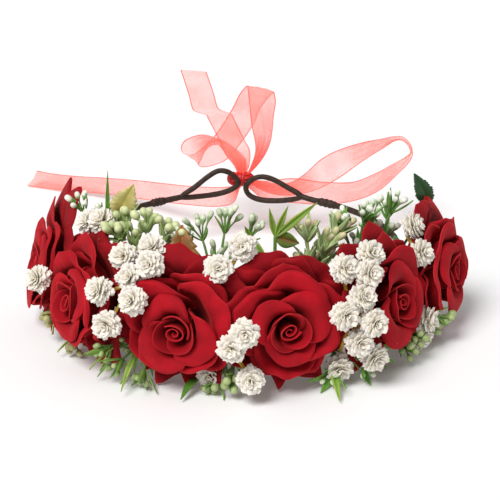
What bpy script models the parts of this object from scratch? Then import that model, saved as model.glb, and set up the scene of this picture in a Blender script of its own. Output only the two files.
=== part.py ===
"""Flower crown: a wire ring with six velvet roses, gypsophila, greenery and a ribbon bow.

The crown lies flat on a table (z = 0) with its flowers at the front (-Y) and the bow at the back (+Y).
The origin is the middle of the head opening on the table plane. All sizes are in metres.
"""
import math

import bmesh
import bpy
from mathutils import Matrix, Vector

MM = 0.001

# Ring and wire.
RING_RADIUS = 93 * MM
RING_HEIGHT = 31.2 * MM
DRAWN_HEIGHT = 31.2 * MM
WIRE_RADIUS = 1.6 * MM
GARLAND_START = -97.0
GARLAND_END = 102.0
LEFT_ARM_END = -152.0
RIGHT_ARM_END = 151.0
FIT_GAP = 0.4 * MM
HINGE_GAP = 0.6 * MM
TAPE_THICKNESS = 0.9 * MM
CALYX_GAP = 0.9 * MM
REST_TRIM = 0.5 * MM

# Roses. Each row: name, place on the ring, turn of the face, upward tilt, half width of the outer petals.
ROSES = (
    ("rose_1", -74.0, -16.0, 7.0, 27 * MM),
    ("rose_2", -40.5, -20.0, 9.0, 25 * MM),
    ("rose_3", -14.0, -2.0, 8.0, 22.5 * MM),
    ("rose_4", 12.6, -2.0, 11.0, 22.5 * MM),
    ("rose_5", 39.0, 16.0, 13.0, 25 * MM),
    ("rose_6", 72.0, -6.0, 7.0, 26 * MM),
)
PETAL_THICKNESS = 1.8 * MM
OUTER_TIP_DEPTH = 24 * MM
OUTER_TOP_REACH = 35.3 * MM
LOBE_COUNT = 5
LOBE_DEPTH = 0.11
INNER_HALF_WIDTH = 19.5 * MM
INNER_REACH = 21.5 * MM
BUD_RADIUS = 9 * MM
CALYX_RADIUS = 6.2 * MM

# Gypsophila and greenery.
BLOOM_RADIUS = 6.0 * MM
STEM_RADIUS = 0.8 * MM
BERRY_RADIUS = 2.1 * MM
LEAF_THICKNESS = 1.2 * MM

# Ribbon.
RIBBON_THICKNESS = 0.9 * MM

RED_VELVET = (0.36, 0.004, 0.008)
DEEP_VELVET = (0.25, 0.002, 0.005)
WHITE_BLOOM = (0.85, 0.84, 0.76)
SAGE = (0.36, 0.46, 0.22)
DARK_LEAF = (0.035, 0.13, 0.03)
OLIVE_LEAF = (0.25, 0.29, 0.05)
RUST_LEAF = (0.22, 0.09, 0.03)
BROWN_TAPE = (0.035, 0.016, 0.01)
GREEN_TAPE = (0.05, 0.13, 0.03)
RED_ORGANZA = (0.75, 0.11, 0.09)


def polar(azimuth, radius, height):
    """A point at an angle from the front (-Y) toward +X, a distance from the middle and a height."""
    turn = math.radians(azimuth)
    return Vector((radius * math.sin(turn), -radius * math.cos(turn), height))


def beside_ring(azimuth, outward, upward):
    """A point given by its angle and by how far it lies outside and above the ring's wire, in millimetres.

    Offsets below the wire are drawn for a ring DRAWN_HEIGHT above the table and stretch with its height.
    """
    stretch = RING_HEIGHT / DRAWN_HEIGHT if upward < 0 else 1.0
    return polar(azimuth, RING_RADIUS + outward * MM, RING_HEIGHT + upward * MM * stretch)


def behind_ring(x, backward, upward):
    """A point given sideways, behind the back of the ring and above its wire, in millimetres."""
    return Vector((x * MM, RING_RADIUS + backward * MM, RING_HEIGHT + upward * MM))


def named_collection(name, hidden):
    made = bpy.data.collections.new(name)
    bpy.context.scene.collection.children.link(made)
    made.hide_render = hidden
    return made


def colour_material(name, colour, roughness):
    made = bpy.data.materials.new(name)
    made.use_nodes = True
    shader = made.node_tree.nodes["Principled BSDF"]
    shader.inputs["Base Color"].default_value = (*colour, 1.0)
    shader.inputs["Roughness"].default_value = roughness
    return made


def add_object(name, data, material, collection):
    made = bpy.data.objects.new(name, data)
    collection.objects.link(made)
    data.materials.append(material)
    return made


def smooth(obj):
    for face in obj.data.polygons:
        face.use_smooth = True


def tube_data(name, points, radius, closed=False, sides=1):
    """A wire of round section along the points, as a curve with a bevel and filled ends."""
    curve = bpy.data.curves.new(name, "CURVE")
    curve.dimensions = "3D"
    curve.bevel_depth = radius
    curve.bevel_resolution = sides
    curve.use_fill_caps = not closed
    spline = curve.splines.new("POLY")
    spline.points.add(len(points) - 1)
    for knot, place in zip(spline.points, points):
        knot.co = (*place, 1.0)
    spline.use_cyclic_u = closed
    return curve


def tube_mesh(name, points, radius, closed=False, sides=1):
    """The same wire as a closed mesh with its end caps welded on."""
    curve = tube_data(name, points, radius, closed, sides)
    holder = bpy.data.objects.new(name + "_route", curve)
    bpy.context.scene.collection.objects.link(holder)
    evaluated = holder.evaluated_get(bpy.context.evaluated_depsgraph_get())
    mesh = bpy.data.meshes.new_from_object(evaluated)
    bpy.data.objects.remove(holder)
    bpy.data.curves.remove(curve)
    mesh.materials.clear()
    shape = bmesh.new()
    shape.from_mesh(mesh)
    bmesh.ops.remove_doubles(shape, verts=shape.verts, dist=0.01 * MM)
    bmesh.ops.recalc_face_normals(shape, faces=shape.faces)
    shape.to_mesh(mesh)
    shape.free()
    mesh.name = name
    return mesh


def bezier_points(start, middle, end, steps):
    """Points along a simple bend from start to end, pulled toward middle."""
    found = []
    for step in range(steps + 1):
        t = step / steps
        found.append(start * (1 - t) ** 2 + middle * (2 * t * (1 - t)) + end * t ** 2)
    return found


def ball_into(shape, place, scale, rows=5, sides=8, turn=None):
    """A closed ball, stretched by scale and turned, added to a mesh being built."""
    matrix = Matrix.Translation(place)
    if turn is not None:
        matrix = matrix @ turn.to_matrix().to_4x4()
    matrix = matrix @ Matrix.Diagonal((*scale, 1.0))
    bmesh.ops.create_uvsphere(shape, u_segments=sides, v_segments=rows, radius=1.0, matrix=matrix)


def fused(name, first_mesh, lumps, material, parts, helpers):
    """One closed body: the first mesh joined by an exact union with the lumps that overlap it."""
    made = add_object(name, first_mesh, material, parts)
    cutter_mesh = bpy.data.meshes.new(name + "_lumps")
    lumps.to_mesh(cutter_mesh)
    lumps.free()
    cutter = bpy.data.objects.new(name + "_lumps", cutter_mesh)
    helpers.objects.link(cutter)
    cutter.hide_render = True
    cutter.display_type = "WIRE"
    union = made.modifiers.new("Join", "BOOLEAN")
    union.operation = "UNION"
    union.solver = "EXACT"
    union.use_self = True
    union.object = cutter
    return made


def turned(name, profile, steps, material, parts):
    """A solid or open shell turned about local Z from (radius, height) points listed top to bottom."""
    mesh = bpy.data.meshes.new(name)
    shape = bmesh.new()
    corners = [shape.verts.new((radius, 0.0, height)) for radius, height in profile]
    for upper, lower in zip(corners, corners[1:]):
        shape.edges.new((upper, lower))
    shape.to_mesh(mesh)
    shape.free()
    made = add_object(name, mesh, material, parts)
    screw = made.modifiers.new("Turn", "SCREW")
    screw.angle = 2 * math.pi
    screw.steps = steps
    screw.render_steps = steps
    screw.use_merge_vertices = True
    screw.merge_threshold = 0.0001
    screw.use_smooth_shade = True
    return made


def petal_ring(name, profile, half_width, reach_up, reach_down, steps, lobe_turn, material, parts):
    """A ring of overlapping petals as one cup: turned, waved at the rim and thickened."""
    mesh = bpy.data.meshes.new(name)
    shape = bmesh.new()
    corners = [shape.verts.new((radius, 0.0, height)) for radius, height in profile]
    edges = [shape.edges.new(pair) for pair in zip(corners, corners[1:])]
    bmesh.ops.spin(shape, geom=corners + edges, cent=(0, 0, 0), axis=(0, 0, 1), angle=2 * math.pi,
                   steps=steps, use_merge=True)
    bmesh.ops.remove_doubles(shape, verts=shape.verts, dist=0.01 * MM)
    widest = max(radius for radius, height in profile)
    throat = min(radius for radius, height in profile)
    for corner in shape.verts:
        reach = math.hypot(corner.co.x, corner.co.y)
        share = (reach - throat) / (widest - throat)
        turn = math.atan2(corner.co.y, corner.co.x)
        lobe = LOBE_DEPTH * math.cos(LOBE_COUNT * (turn - lobe_turn))
        wide = 1 + share * (half_width / widest - 1)
        tall = reach_up if corner.co.y > 0 else reach_down
        high = 1 + share * (tall / widest / (1 + LOBE_DEPTH) - 1)
        corner.co.x *= wide * (1 + share * lobe)
        corner.co.y *= high * (1 + share * lobe)
    shape.normal_update()
    bmesh.ops.recalc_face_normals(shape, faces=shape.faces)
    shape.to_mesh(mesh)
    shape.free()
    made = add_object(name, mesh, material, parts)
    smooth(made)
    shell = made.modifiers.new("Petal thickness", "SOLIDIFY")
    shell.thickness = PETAL_THICKNESS
    shell.offset = 0.0
    return made


def rose(name, azimuth, yaw, tilt, half_width, materials, parts):
    """One rose: calyx on the wire, outer petals, inner petals and the rolled bud."""
    base = polar(azimuth, RING_RADIUS, RING_HEIGHT)
    facing = polar(azimuth + yaw, math.cos(math.radians(tilt)), math.sin(math.radians(tilt)))
    turn = facing.to_track_quat("Z", "Y")
    rise = math.radians(tilt)
    reach_down = (RING_HEIGHT + OUTER_TIP_DEPTH * math.sin(rise)) / math.cos(rise) + REST_TRIM
    foot = WIRE_RADIUS + CALYX_GAP
    calyx = turned(
        name + "_calyx",
        ((0.0, foot + 7 * MM), (CALYX_RADIUS, foot + 7 * MM), (CALYX_RADIUS * 0.8, foot + 4 * MM),
         (2.2 * MM, foot), (0.0, foot)),
        10, materials["green_tape"], parts)
    throat = 5.0 * MM
    outer = petal_ring(
        name + "_outer_petals",
        ((throat, foot + 9 * MM), (11 * MM, foot + 10.5 * MM), (19 * MM, foot + 17 * MM),
         (25 * MM, foot + 23.5 * MM), (30 * MM, OUTER_TIP_DEPTH)),
        half_width, OUTER_TOP_REACH, reach_down, 15, -math.pi / 2, materials["velvet"], parts)
    inner = petal_ring(
        name + "_inner_petals",
        ((throat * 0.9, foot + 13 * MM), (10 * MM, foot + 15.5 * MM), (14.5 * MM, foot + 23 * MM),
         (17 * MM, foot + 29 * MM), (20 * MM, foot + 31 * MM)),
        INNER_HALF_WIDTH, INNER_REACH, INNER_REACH, 15, math.pi / 2, materials["velvet"], parts)
    bud = turned(
        name + "_bud",
        ((0.0, foot + 31 * MM), (BUD_RADIUS * 0.6, foot + 30.5 * MM), (BUD_RADIUS, foot + 26 * MM),
         (BUD_RADIUS * 0.85, foot + 20.5 * MM), (BUD_RADIUS * 0.3, foot + 17 * MM), (0.0, foot + 17 * MM)),
        10, materials["deep_velvet"], parts)
    for piece in (calyx, outer, inner, bud):
        piece.rotation_mode = "QUATERNION"
        piece.rotation_quaternion = turn
        piece.location = base


def bloom_spray(name, root, blooms, material, parts, helpers):
    """Gypsophila: stems that leave one root on the wire, each with a ball-shaped bloom at its tip."""
    first = None
    lumps = bmesh.new()
    start = polar(*root)
    for azimuth, near_side, upward in blooms:
        tip = beside_ring(azimuth, near_side + BLOOM_RADIUS / MM, upward)
        middle = (start + tip) / 2 + Vector((0, 0, 2 * MM))
        route = bezier_points(start, middle, tip, 4)
        stem = tube_mesh(name + "_stem", route, STEM_RADIUS, sides=0)
        if first is None:
            first = stem
            first.name = name
        else:
            lumps.from_mesh(stem)
            bpy.data.meshes.remove(stem)
        ball_into(lumps, tip, (BLOOM_RADIUS,) * 3)
    return fused(name, first, lumps, material, parts, helpers)


def sprig(name, root, bend, tip, buds, leaves, material, parts, helpers):
    """Greenery: a bent stem with round buds and thin leaves set on it.

    Each bud is (share along the stem, offset, radius); each leaf is (share, offset to its tip, width).
    """
    route = bezier_points(root, bend, tip, 6)
    stem = tube_mesh(name, route, STEM_RADIUS, sides=0)
    lumps = bmesh.new()
    for share, offset, radius in buds:
        step = min(int(share * 6), 6)
        foot = route[step]
        place = foot + Vector(offset)
        twig = tube_mesh(name + "_twig", [foot, (foot + place) / 2, place], STEM_RADIUS * 0.7, sides=0)
        lumps.from_mesh(twig)
        bpy.data.meshes.remove(twig)
        ball_into(lumps, place, (radius, radius, radius * 1.25), rows=4, sides=6)
    for share, offset, width in leaves:
        step = min(int(share * 6), 6)
        foot = route[step]
        run = Vector(offset)
        turn = run.to_track_quat("Z", "Y")
        ball_into(lumps, foot + run * 0.42, (width / 2, LEAF_THICKNESS / 2, run.length / 2), rows=6, sides=6,
                  turn=turn)
    return fused(name, stem, lumps, material, parts, helpers)


def lone_leaf(name, root, foot, tip, width, material, parts, helpers):
    """A single broad leaf: a short stem from the wire to its foot and a flat closed pad to its tip."""
    run = tip - foot
    stem = tube_mesh(name, [root, foot, foot + run * 0.3], STEM_RADIUS, sides=0)
    lumps = bmesh.new()
    ball_into(lumps, foot + run / 2, (width / 2, LEAF_THICKNESS / 2, run.length / 2), rows=7, sides=8,
              turn=run.to_track_quat("Z", "Y"))
    return fused(name, stem, lumps, material, parts, helpers)


def ribbon_band(name, edges, material, parts):
    """A length of ribbon through pairs of edge points, given thickness."""
    mesh = bpy.data.meshes.new(name)
    shape = bmesh.new()
    left = [shape.verts.new(behind_ring(*pair[0])) for pair in edges]
    right = [shape.verts.new(behind_ring(*pair[1])) for pair in edges]
    for step in range(len(edges) - 1):
        shape.faces.new((left[step], left[step + 1], right[step + 1], right[step]))
    shape.to_mesh(mesh)
    shape.free()
    made = add_object(name, mesh, material, parts)
    smooth(made)
    thicken = made.modifiers.new("Thickness", "SOLIDIFY")
    thicken.thickness = RIBBON_THICKNESS
    thicken.offset = 0.0
    return made


def arc_points(start, end, count):
    turns = [start + (end - start) * step / (count - 1) for step in range(count)]
    return [polar(turn, RING_RADIUS, RING_HEIGHT) for turn in turns]


def sleeve(name, azimuth, length, bore, material, parts):
    """A short sleeve of wound tape round the wire at one place on the ring."""
    inner = bore
    outer = bore + TAPE_THICKNESS
    half = length / 2
    made = turned(name, ((inner, half), (outer, half), (outer, -half), (inner, -half), (inner, half)),
                  12, material, parts)
    along = polar(azimuth + 90, 1.0, 0.0)
    made.rotation_mode = "QUATERNION"
    made.rotation_quaternion = along.to_track_quat("Z", "Y")
    chord_rise = RING_RADIUS - length ** 2 / (16 * RING_RADIUS)
    made.location = polar(azimuth, chord_rise, RING_HEIGHT)
    return made


def loop_arm(name, arc_start, arc_end, loop, material, parts, helpers):
    """A bare wire arm along the ring that ends in a closed tie loop."""
    arc = arc_points(arc_start, arc_end, 16)
    arc.append(behind_ring(*loop[0]))
    arm = tube_mesh(name, arc, WIRE_RADIUS, sides=1)
    ring = tube_mesh(name + "_loop", [behind_ring(*place) for place in loop], WIRE_RADIUS * 0.94,
                     closed=True, sides=1)
    lumps = bmesh.new()
    lumps.from_mesh(ring)
    bpy.data.meshes.remove(ring)
    return fused(name, arm, lumps, material, parts, helpers)


LEFT_LOOP = (
    (-36, -7.4, 0.6), (-28, -4.6, 6), (-20, -2.4, 12), (-13.5, -1, 15.4), (-7.5, -0.4, 14.6),
    (-2.6, 0, 10.6), (-1, 0, 6.6), (-4.6, 0, 3.2), (-12, -0.8, 0.6), (-24, -3.4, -0.4),
)
RIGHT_LOOP = (
    (38, -8, 1.2), (28.5, -4.6, 6.6), (20.5, -2.2, 10.4), (13.5, -1, 11.6), (7.4, -0.2, 9.4),
    (3.9, 0, 5), (5, 0, 0.2), (9.4, -0.4, -2.8), (17, -1.6, -4), (29, -4.8, -2.6),
)
UPRIGHT_TAIL = (
    ((-3.7, 6.8, 16.5), (7.4, 6.8, 17.8)), ((-9.2, 9, 23.1), (6.4, 9, 25.4)),
    ((-14.2, 14, 33), (2.6, 14, 31.6)), ((-21.9, 20, 46.2), (-5.6, 20, 46.8)),
    ((-30.5, 23, 51.2), (-14.4, 23, 52.5)), ((-37.4, 31, 71.6), (-21, 31, 70.3)),
)
UPPER_LOOP = (
    ((9.6, 6, 13.5), (17.4, 6, 18.5)), ((9.9, 9, 23.4), (20, 11, 30)),
    ((9.4, 10, 32.3), (20.6, 15, 36.6)), ((7.4, 13, 41.2), (21.4, 17, 46.1)),
    ((5.8, 19, 54.4), (22.2, 20, 57.6)), ((4.5, 24, 63.9), (21.1, 24, 62.7)),
    ((-0.5, 29, 55.9), (13, 29, 47)), ((-6, 28.5, 45), (8.5, 28.5, 36)),
    ((-14.9, 28, 32.3), (-1, 28, 22.7)), ((-23.4, 28, 24.7), (-10, 28, 14)),
)
LEFT_BOW_LOOP = (
    ((-25.5, 28, 24.5), (-20.5, 28, 11.5)), ((-37.2, 25.5, 26), (-33.8, 25.5, 13.3)),
    ((-31.7, 21, 31), (-31.3, 21, 15)), ((-16.4, 20, 30), (-17.3, 19, 14.7)),
    ((-5.5, 17.6, 25.7), (-5.9, 16, 12.3)), ((5, 13, 19.1), (2.6, 13, 7.4)),
)
RIGHT_BOW_LOOP = (
    ((17.7, 6.5, 6.5), (16.9, 6.5, -7.3)), ((33.5, 8, 7.5), (33.1, 7.5, -9)),
    ((51.3, 9, 4.8), (50.9, 8.5, -10.5)), ((70.9, 9.5, 4.4), (71.3, 9, -8.6)),
    ((83.8, 13, 8.3), (86.3, 9, -2)), ((97.4, 18, 14.6), (98.5, 7.5, 11.5)),
    ((106.5, 22, 20.2), (105.5, 8, 23)), ((100.5, 29, 27.4), (99, 17, 29.4)),
    ((84, 32, 24.4), (88, 24, 19.6)), ((66, 30, 20), (76.6, 26, 11)),
    ((52.5, 26, 14.5), (64, 23, 2.5)), ((40.5, 21, 7.5), (50.5, 18.5, -5)),
    ((26, 15, 5), (30, 14.5, -7.5)),
)
TRAILING_TAIL = (
    ((-2, 8.6, 0.5), (-3.1, 7.6, -11)), ((-14, 13, -0.4), (-14.1, 11, -12.9)),
    ((-34.3, 27, -4.5), (-33, 24, -16.7)), ((-65.9, 55, -11.1), (-64.5, 51, -23)),
    ((-91.7, 77, -15.6), (-90.3, 72, -27)), ((-121.9, 97, -18.6), (-121.8, 91, -29.7)),
    ((-141.8, 111, -19.4), (-147.9, 103, -30.1)),
)


def build():
    for obj in list(bpy.data.objects):
        bpy.data.objects.remove(obj)
    parts = named_collection("flower_crown", False)
    helpers = named_collection("union_helpers", True)
    materials = {
        "velvet": colour_material("velvet", RED_VELVET, 0.85),
        "deep_velvet": colour_material("deep_velvet", DEEP_VELVET, 0.85),
        "bloom": colour_material("bloom", WHITE_BLOOM, 0.7),
        "sage": colour_material("sage", SAGE, 0.6),
        "dark_leaf": colour_material("dark_leaf", DARK_LEAF, 0.5),
        "olive_leaf": colour_material("olive_leaf", OLIVE_LEAF, 0.55),
        "rust_leaf": colour_material("rust_leaf", RUST_LEAF, 0.6),
        "brown_tape": colour_material("brown_tape", BROWN_TAPE, 0.7),
        "green_tape": colour_material("green_tape", GREEN_TAPE, 0.7),
        "organza": colour_material("organza", RED_ORGANZA, 0.4),
    }
    garland = tube_mesh("garland_wire", arc_points(GARLAND_START, GARLAND_END, 40), WIRE_RADIUS, sides=1)
    smooth(add_object("garland_wire", garland, materials["green_tape"], parts))
    gap_turn = math.degrees(HINGE_GAP / RING_RADIUS)
    left_arm = loop_arm("left_arm_wire", GARLAND_START - gap_turn, LEFT_ARM_END, LEFT_LOOP,
                        materials["brown_tape"], parts, helpers)
    loop_arm("right_arm_wire", GARLAND_END + gap_turn, RIGHT_ARM_END, RIGHT_LOOP,
             materials["brown_tape"], parts, helpers)
    riders = [left_arm]
    bore = WIRE_RADIUS + FIT_GAP * 1.5
    riders.append(sleeve("left_twist_wrap", LEFT_ARM_END + 5.0, 8 * MM, bore, materials["brown_tape"], parts))
    sleeve("right_twist_wrap", RIGHT_ARM_END - 6.5, 12 * MM, bore, materials["brown_tape"], parts)
    for row in ROSES:
        rose(*row, materials, parts)
    bloom_rows(materials, parts, helpers)
    greenery(materials, parts, helpers)
    riders += ribbons(materials, parts)
    pivot = polar(GARLAND_START, RING_RADIUS, RING_HEIGHT)
    hinge = bpy.data.objects.new("left_arm_pivot", None)
    parts.objects.link(hinge)
    hinge.location = pivot
    bpy.context.view_layer.update()
    for obj in riders:
        obj.parent = hinge
        obj.matrix_parent_inverse = hinge.matrix_world.inverted()


def bloom_rows(materials, parts, helpers):
    """The gypsophila sprays, each rooted on the wire between two roses."""
    root_radius = RING_RADIUS + WIRE_RADIUS + FIT_GAP + STEM_RADIUS
    height = RING_HEIGHT + WIRE_RADIUS + FIT_GAP + STEM_RADIUS
    sprays = (
        ("gypsophila_left_top", (-57.0, RING_RADIUS, height),
         ((-54.0, -1, 40), (-47.5, -2, 43))),
        ("gypsophila_left_side", (-59.0, root_radius, RING_HEIGHT), ((-57.5, 27, 11),)),
        ("gypsophila_left_fan", (-27.0, root_radius, RING_HEIGHT),
         ((-31.1, 13, 36), (-24.0, 7, 41), (-26.8, 21, 29),
          (-21.9, 19, 37), (-32.5, 31, 23), (-23.6, 32, 22),
          (-29.5, 35, 7))),
        ("gypsophila_centre_top", (-0.5, root_radius, RING_HEIGHT),
         ((-4.6, 16, 37), (1.4, 7, 45))),
        ("gypsophila_centre_low", (0.5, root_radius, RING_HEIGHT - 3 * MM),
         ((-1.2, 35, 2), (1.6, 41, 13), (3.0, 32, -17),
          (-7.0, 15, -24.5))),
        ("gypsophila_right_fan", (26.0, root_radius, RING_HEIGHT),
         ((33.8, 21, 39), (29.0, 11, 29), (32.0, 24, 30),
          (29.0, 28, 21), (24.0, 34, 14), (30.0, 39, 9),
          (27.5, 35, -2), (31.5, 35, -13), (25.4, 23, -21))),
        ("gypsophila_right_top", (56.0, root_radius, RING_HEIGHT),
         ((60.0, 9, 36), (57.0, 17, 24))),
        ("gypsophila_right_low", (56.0, root_radius, RING_HEIGHT - 3 * MM),
         ((55.6, 24, -12), (55.0, 21, -24))),
    )
    for name, root, blooms in sprays:
        bloom_spray(name, root, blooms, materials["bloom"], parts, helpers)


def greenery(materials, parts, helpers):
    """Budded sprigs and single leaves tucked round the roses."""
    bud = BERRY_RADIUS
    at = beside_ring

    def off(x, y, z):
        return (x * MM, y * MM, z * MM)

    sprig("sage_berries_left", at(-34, -1.5, 2.6), at(-36, -7, 24), at(-44, -9, 37),
          ((0.4, off(6, 4, 3), bud), (0.6, off(6, 2, 5), bud), (0.8, off(-4, -2, 4), bud),
           (0.8, off(4, 3, 6), bud), (1.0, off(0, 0, 3), bud * 1.2)),
          ((0.5, off(-6, 4, 8), 4 * MM),), materials["sage"], parts, helpers)
    lone_leaf("olive_leaf_left", at(-50, -1.5, 2.6), at(-50, -5, 21), at(-46, -19, 45), 9 * MM,
              materials["olive_leaf"], parts, helpers)
    sprig("white_tipped_sprig_left", at(-66, -1.5, 2.6), at(-64, -9, 24), at(-66, -5, 41),
          ((0.6, off(3, -2, 6), bud), (0.8, off(-3, 2, 5), bud), (1.0, off(0, 0, 3), bud)),
          ((0.4, off(4, 4, 8), 3 * MM),), materials["dark_leaf"], parts, helpers)
    lone_leaf("spear_leaf_left", at(-54, -1.5, 2.6), at(-54, -9, 13), at(-54, -17, 53), 3.6 * MM,
              materials["dark_leaf"], parts, helpers)
    lone_leaf("rust_leaf_left", at(-19, -1, 2.8), at(-20, 1, 15), at(-21, -9, 39), 13 * MM,
              materials["rust_leaf"], parts, helpers)
    sprig("green_sprig_centre", at(-8, -1.5, 2.6), at(-7, -9, 25), at(-6, -13, 53),
          ((0.5, off(-12, 3, 12), bud), (0.6, off(12, 3, 14), bud), (0.7, off(-8, 0, 10), bud),
           (0.8, off(7, 0, 8), bud), (1.0, off(0, 0, 3), bud)),
          ((0.4, off(-10, 2, 10), 4 * MM), (0.6, off(9, 2, 6), 4 * MM)),
          materials["dark_leaf"], parts, helpers)
    sprig("spiky_sprig_centre", at(12, -1.5, 2.6), at(13, -9, 21), at(14, -13, 39),
          ((1.0, off(0, 0, 3), bud),),
          ((0.2, off(-8, 3, 14), 4 * MM), (0.4, off(10, 2, 12), 4 * MM), (0.6, off(-9, 0, 14), 4 * MM),
           (0.8, off(12, 0, 14), 4 * MM)), materials["dark_leaf"], parts, helpers)
    sprig("pale_sprig_right", at(26, -1.5, 2.6), at(27, -11, 19), at(26, -13, 41),
          ((0.5, off(-6, 2, 6), bud), (0.6, off(7, 2, 7), bud), (0.8, off(-5, 0, 6), bud),
           (1.0, off(0, 0, 3), bud * 1.2)),
          ((0.4, off(8, 0, 10), 5 * MM), (0.4, off(-7, 0, 9), 5 * MM)), materials["sage"], parts, helpers)
    sprig("green_sprig_right", at(48, -1.5, 2.6), at(47, -11, 21), at(44, -11, 43),
          ((0.5, off(-7, 2, 8), bud), (0.6, off(7, 2, 8), bud), (0.8, off(-5, 0, 8), bud),
           (1.0, off(0, 0, 3), bud)),
          ((0.4, off(8, 0, 12), 4 * MM), (0.6, off(-9, 0, 8), 4 * MM)), materials["dark_leaf"], parts,
          helpers)
    sprig("white_tipped_sprig_right", at(62, -1.5, 2.6), at(60, -13, 23), at(60, -9, 47),
          ((0.5, off(-6, 2, 8), bud), (0.6, off(4, 4, 8), bud), (1.0, off(0, 0, 3), bud)),
          ((0.4, off(-8, 2, 10), 4 * MM),), materials["sage"], parts, helpers)
    lone_leaf("dark_leaf_right", at(84, -1.5, 2.6), at(84, -3, 19), at(80, -9, 45), 8 * MM,
              materials["dark_leaf"], parts, helpers)
    sprig("olive_buds_left_low", at(-58, 2.2, -2.2), at(-59, 15, -11), at(-61, 29, -16),
          ((0.6, off(-2, 1, 6), bud), (0.8, off(0, -2, 5), bud), (1.0, off(-2, 0, 1), bud),
           (0.8, off(2, 0, -5), bud)),
          (), materials["olive_leaf"], parts, helpers)
    sprig("green_sprig_left_low", at(-27, 2.2, -2.2), at(-27, 17, -15), at(-29, 35, -25),
          ((0.5, off(-7, 0, -2), bud), (0.6, off(6, 2, 0), bud), (0.8, off(-8, -2, -1), bud),
           (1.0, off(-2, -2, 0), bud)),
          ((0.4, off(9, -4, -6), 4 * MM),), materials["sage"], parts, helpers)
    lone_leaf("pointed_leaf_low", at(-9, 2.2, -2.2), at(-9, 7, -17), at(-13, 26, -29.6), 6 * MM,
              materials["dark_leaf"], parts, helpers)
    sprig("green_sprig_centre_low", at(-1, 1.6, -2.8), at(-1, 13, -21), at(-2, 31, -26),
          ((0.5, off(7, 0, 1), bud), (0.8, off(6, -3, 1), bud),
           (1.0, off(0, -2, 0), bud)),
          ((0.6, off(-4, -12, -8), 4 * MM),), materials["sage"], parts, helpers)
    sprig("long_leaf_sprig_right_low", at(32, 1.6, -2.8), at(34, 15, -26), at(32, 37, -27.4),
          ((0.6, off(7, 2, -1), bud), (0.8, off(7, 0, 3), bud)),
          ((0.8, off(-3, -14, 0), 4 * MM), (1.0, off(-14, -10, -2), 4 * MM)),
          materials["dark_leaf"], parts, helpers)
    sprig("budded_sprig_right_low", at(54, 1.6, -2.8), at(53.5, 19, -19), at(50, 36, -20),
          ((0.6, off(4, 2, 4), bud), (0.6, off(-3, -3, -4), bud), (0.8, off(-5, 0, 4), bud),
           (1.0, off(0, 0, 0), bud)),
          (), materials["olive_leaf"], parts, helpers)


def ribbons(materials, parts):
    """The bow at the back: a knot, two bow loops, an upright tail and a trailing tail."""
    organza = materials["organza"]
    shape = bmesh.new()
    ball_into(shape, behind_ring(2.0, 7.2, 9.0), (8.5 * MM, 4.2 * MM, 5.6 * MM), rows=6, sides=10)
    mesh = bpy.data.meshes.new("bow_knot")
    shape.to_mesh(mesh)
    shape.free()
    knot = add_object("bow_knot", mesh, organza, parts)
    smooth(knot)
    made = [knot]
    made.append(ribbon_band("bow_upright_tail", UPRIGHT_TAIL, organza, parts))
    made.append(ribbon_band("bow_upper_loop", UPPER_LOOP, organza, parts))
    made.append(ribbon_band("bow_left_loop", LEFT_BOW_LOOP, organza, parts))
    made.append(ribbon_band("bow_right_loop", RIGHT_BOW_LOOP, organza, parts))
    made.append(ribbon_band("bow_trailing_tail", TRAILING_TAIL, organza, parts))
    return made


build()
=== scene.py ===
"""Flower crown: velvet roses, gypsophila, greenery, taped wire and a sheer ribbon bow.

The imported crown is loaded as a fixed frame, and every visible piece is built around it. The ring of wire
lies level, centred on Z, with the roses to the front (-Y). An azimuth is the angle round it from the front.
"""
import math

import bmesh
import bpy
import numpy as np
from mathutils import Matrix, Vector


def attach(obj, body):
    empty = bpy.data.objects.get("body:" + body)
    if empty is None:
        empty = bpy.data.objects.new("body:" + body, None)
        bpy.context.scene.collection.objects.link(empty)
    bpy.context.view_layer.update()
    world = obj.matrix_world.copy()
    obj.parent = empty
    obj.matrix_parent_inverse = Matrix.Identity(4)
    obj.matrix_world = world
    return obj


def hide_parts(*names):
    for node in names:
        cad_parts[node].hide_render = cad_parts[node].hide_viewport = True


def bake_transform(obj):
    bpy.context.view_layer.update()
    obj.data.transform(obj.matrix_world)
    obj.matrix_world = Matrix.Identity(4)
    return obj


bl_info = {
    "name": "Flower Crown",
    "version": (1, 0, 0),
    "blender": (4, 5, 0),
    "location": "3D View > Sidebar > Crown",
    "description": "Builds a rose and gypsophila flower crown with a ribbon bow",
    "category": "Add Mesh",
}

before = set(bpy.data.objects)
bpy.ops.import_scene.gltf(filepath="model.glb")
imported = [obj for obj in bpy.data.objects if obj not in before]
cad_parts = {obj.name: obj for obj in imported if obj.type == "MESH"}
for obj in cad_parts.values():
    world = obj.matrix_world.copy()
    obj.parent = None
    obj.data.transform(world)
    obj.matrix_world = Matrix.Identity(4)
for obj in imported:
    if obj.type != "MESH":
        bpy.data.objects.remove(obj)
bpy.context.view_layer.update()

MM = 0.001
RING_RADIUS = 93 * MM
RING_HEIGHT = 31.2 * MM
WIRE_RADIUS = 1.6 * MM
# Azimuths of the two ends of the flowered wire, and the step from there to a bare arm.
GARLAND_START, GARLAND_END = -97.0, 102.0
TAPE_STEP = 0.35
# The tape is thicker on the bare arms than on the flowered wire, and a little less so on their loops.
ARM_TAPE, LOOP_TAPE = 1.12, 1.06
# Soft pieces stay this far off the table, and start to bend this far above that.
FLOOR_CLEARANCE = 0.6 * MM
FLOOR_BEND = 3 * MM
RIBBON_THICKNESS = 0.18 * MM

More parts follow.
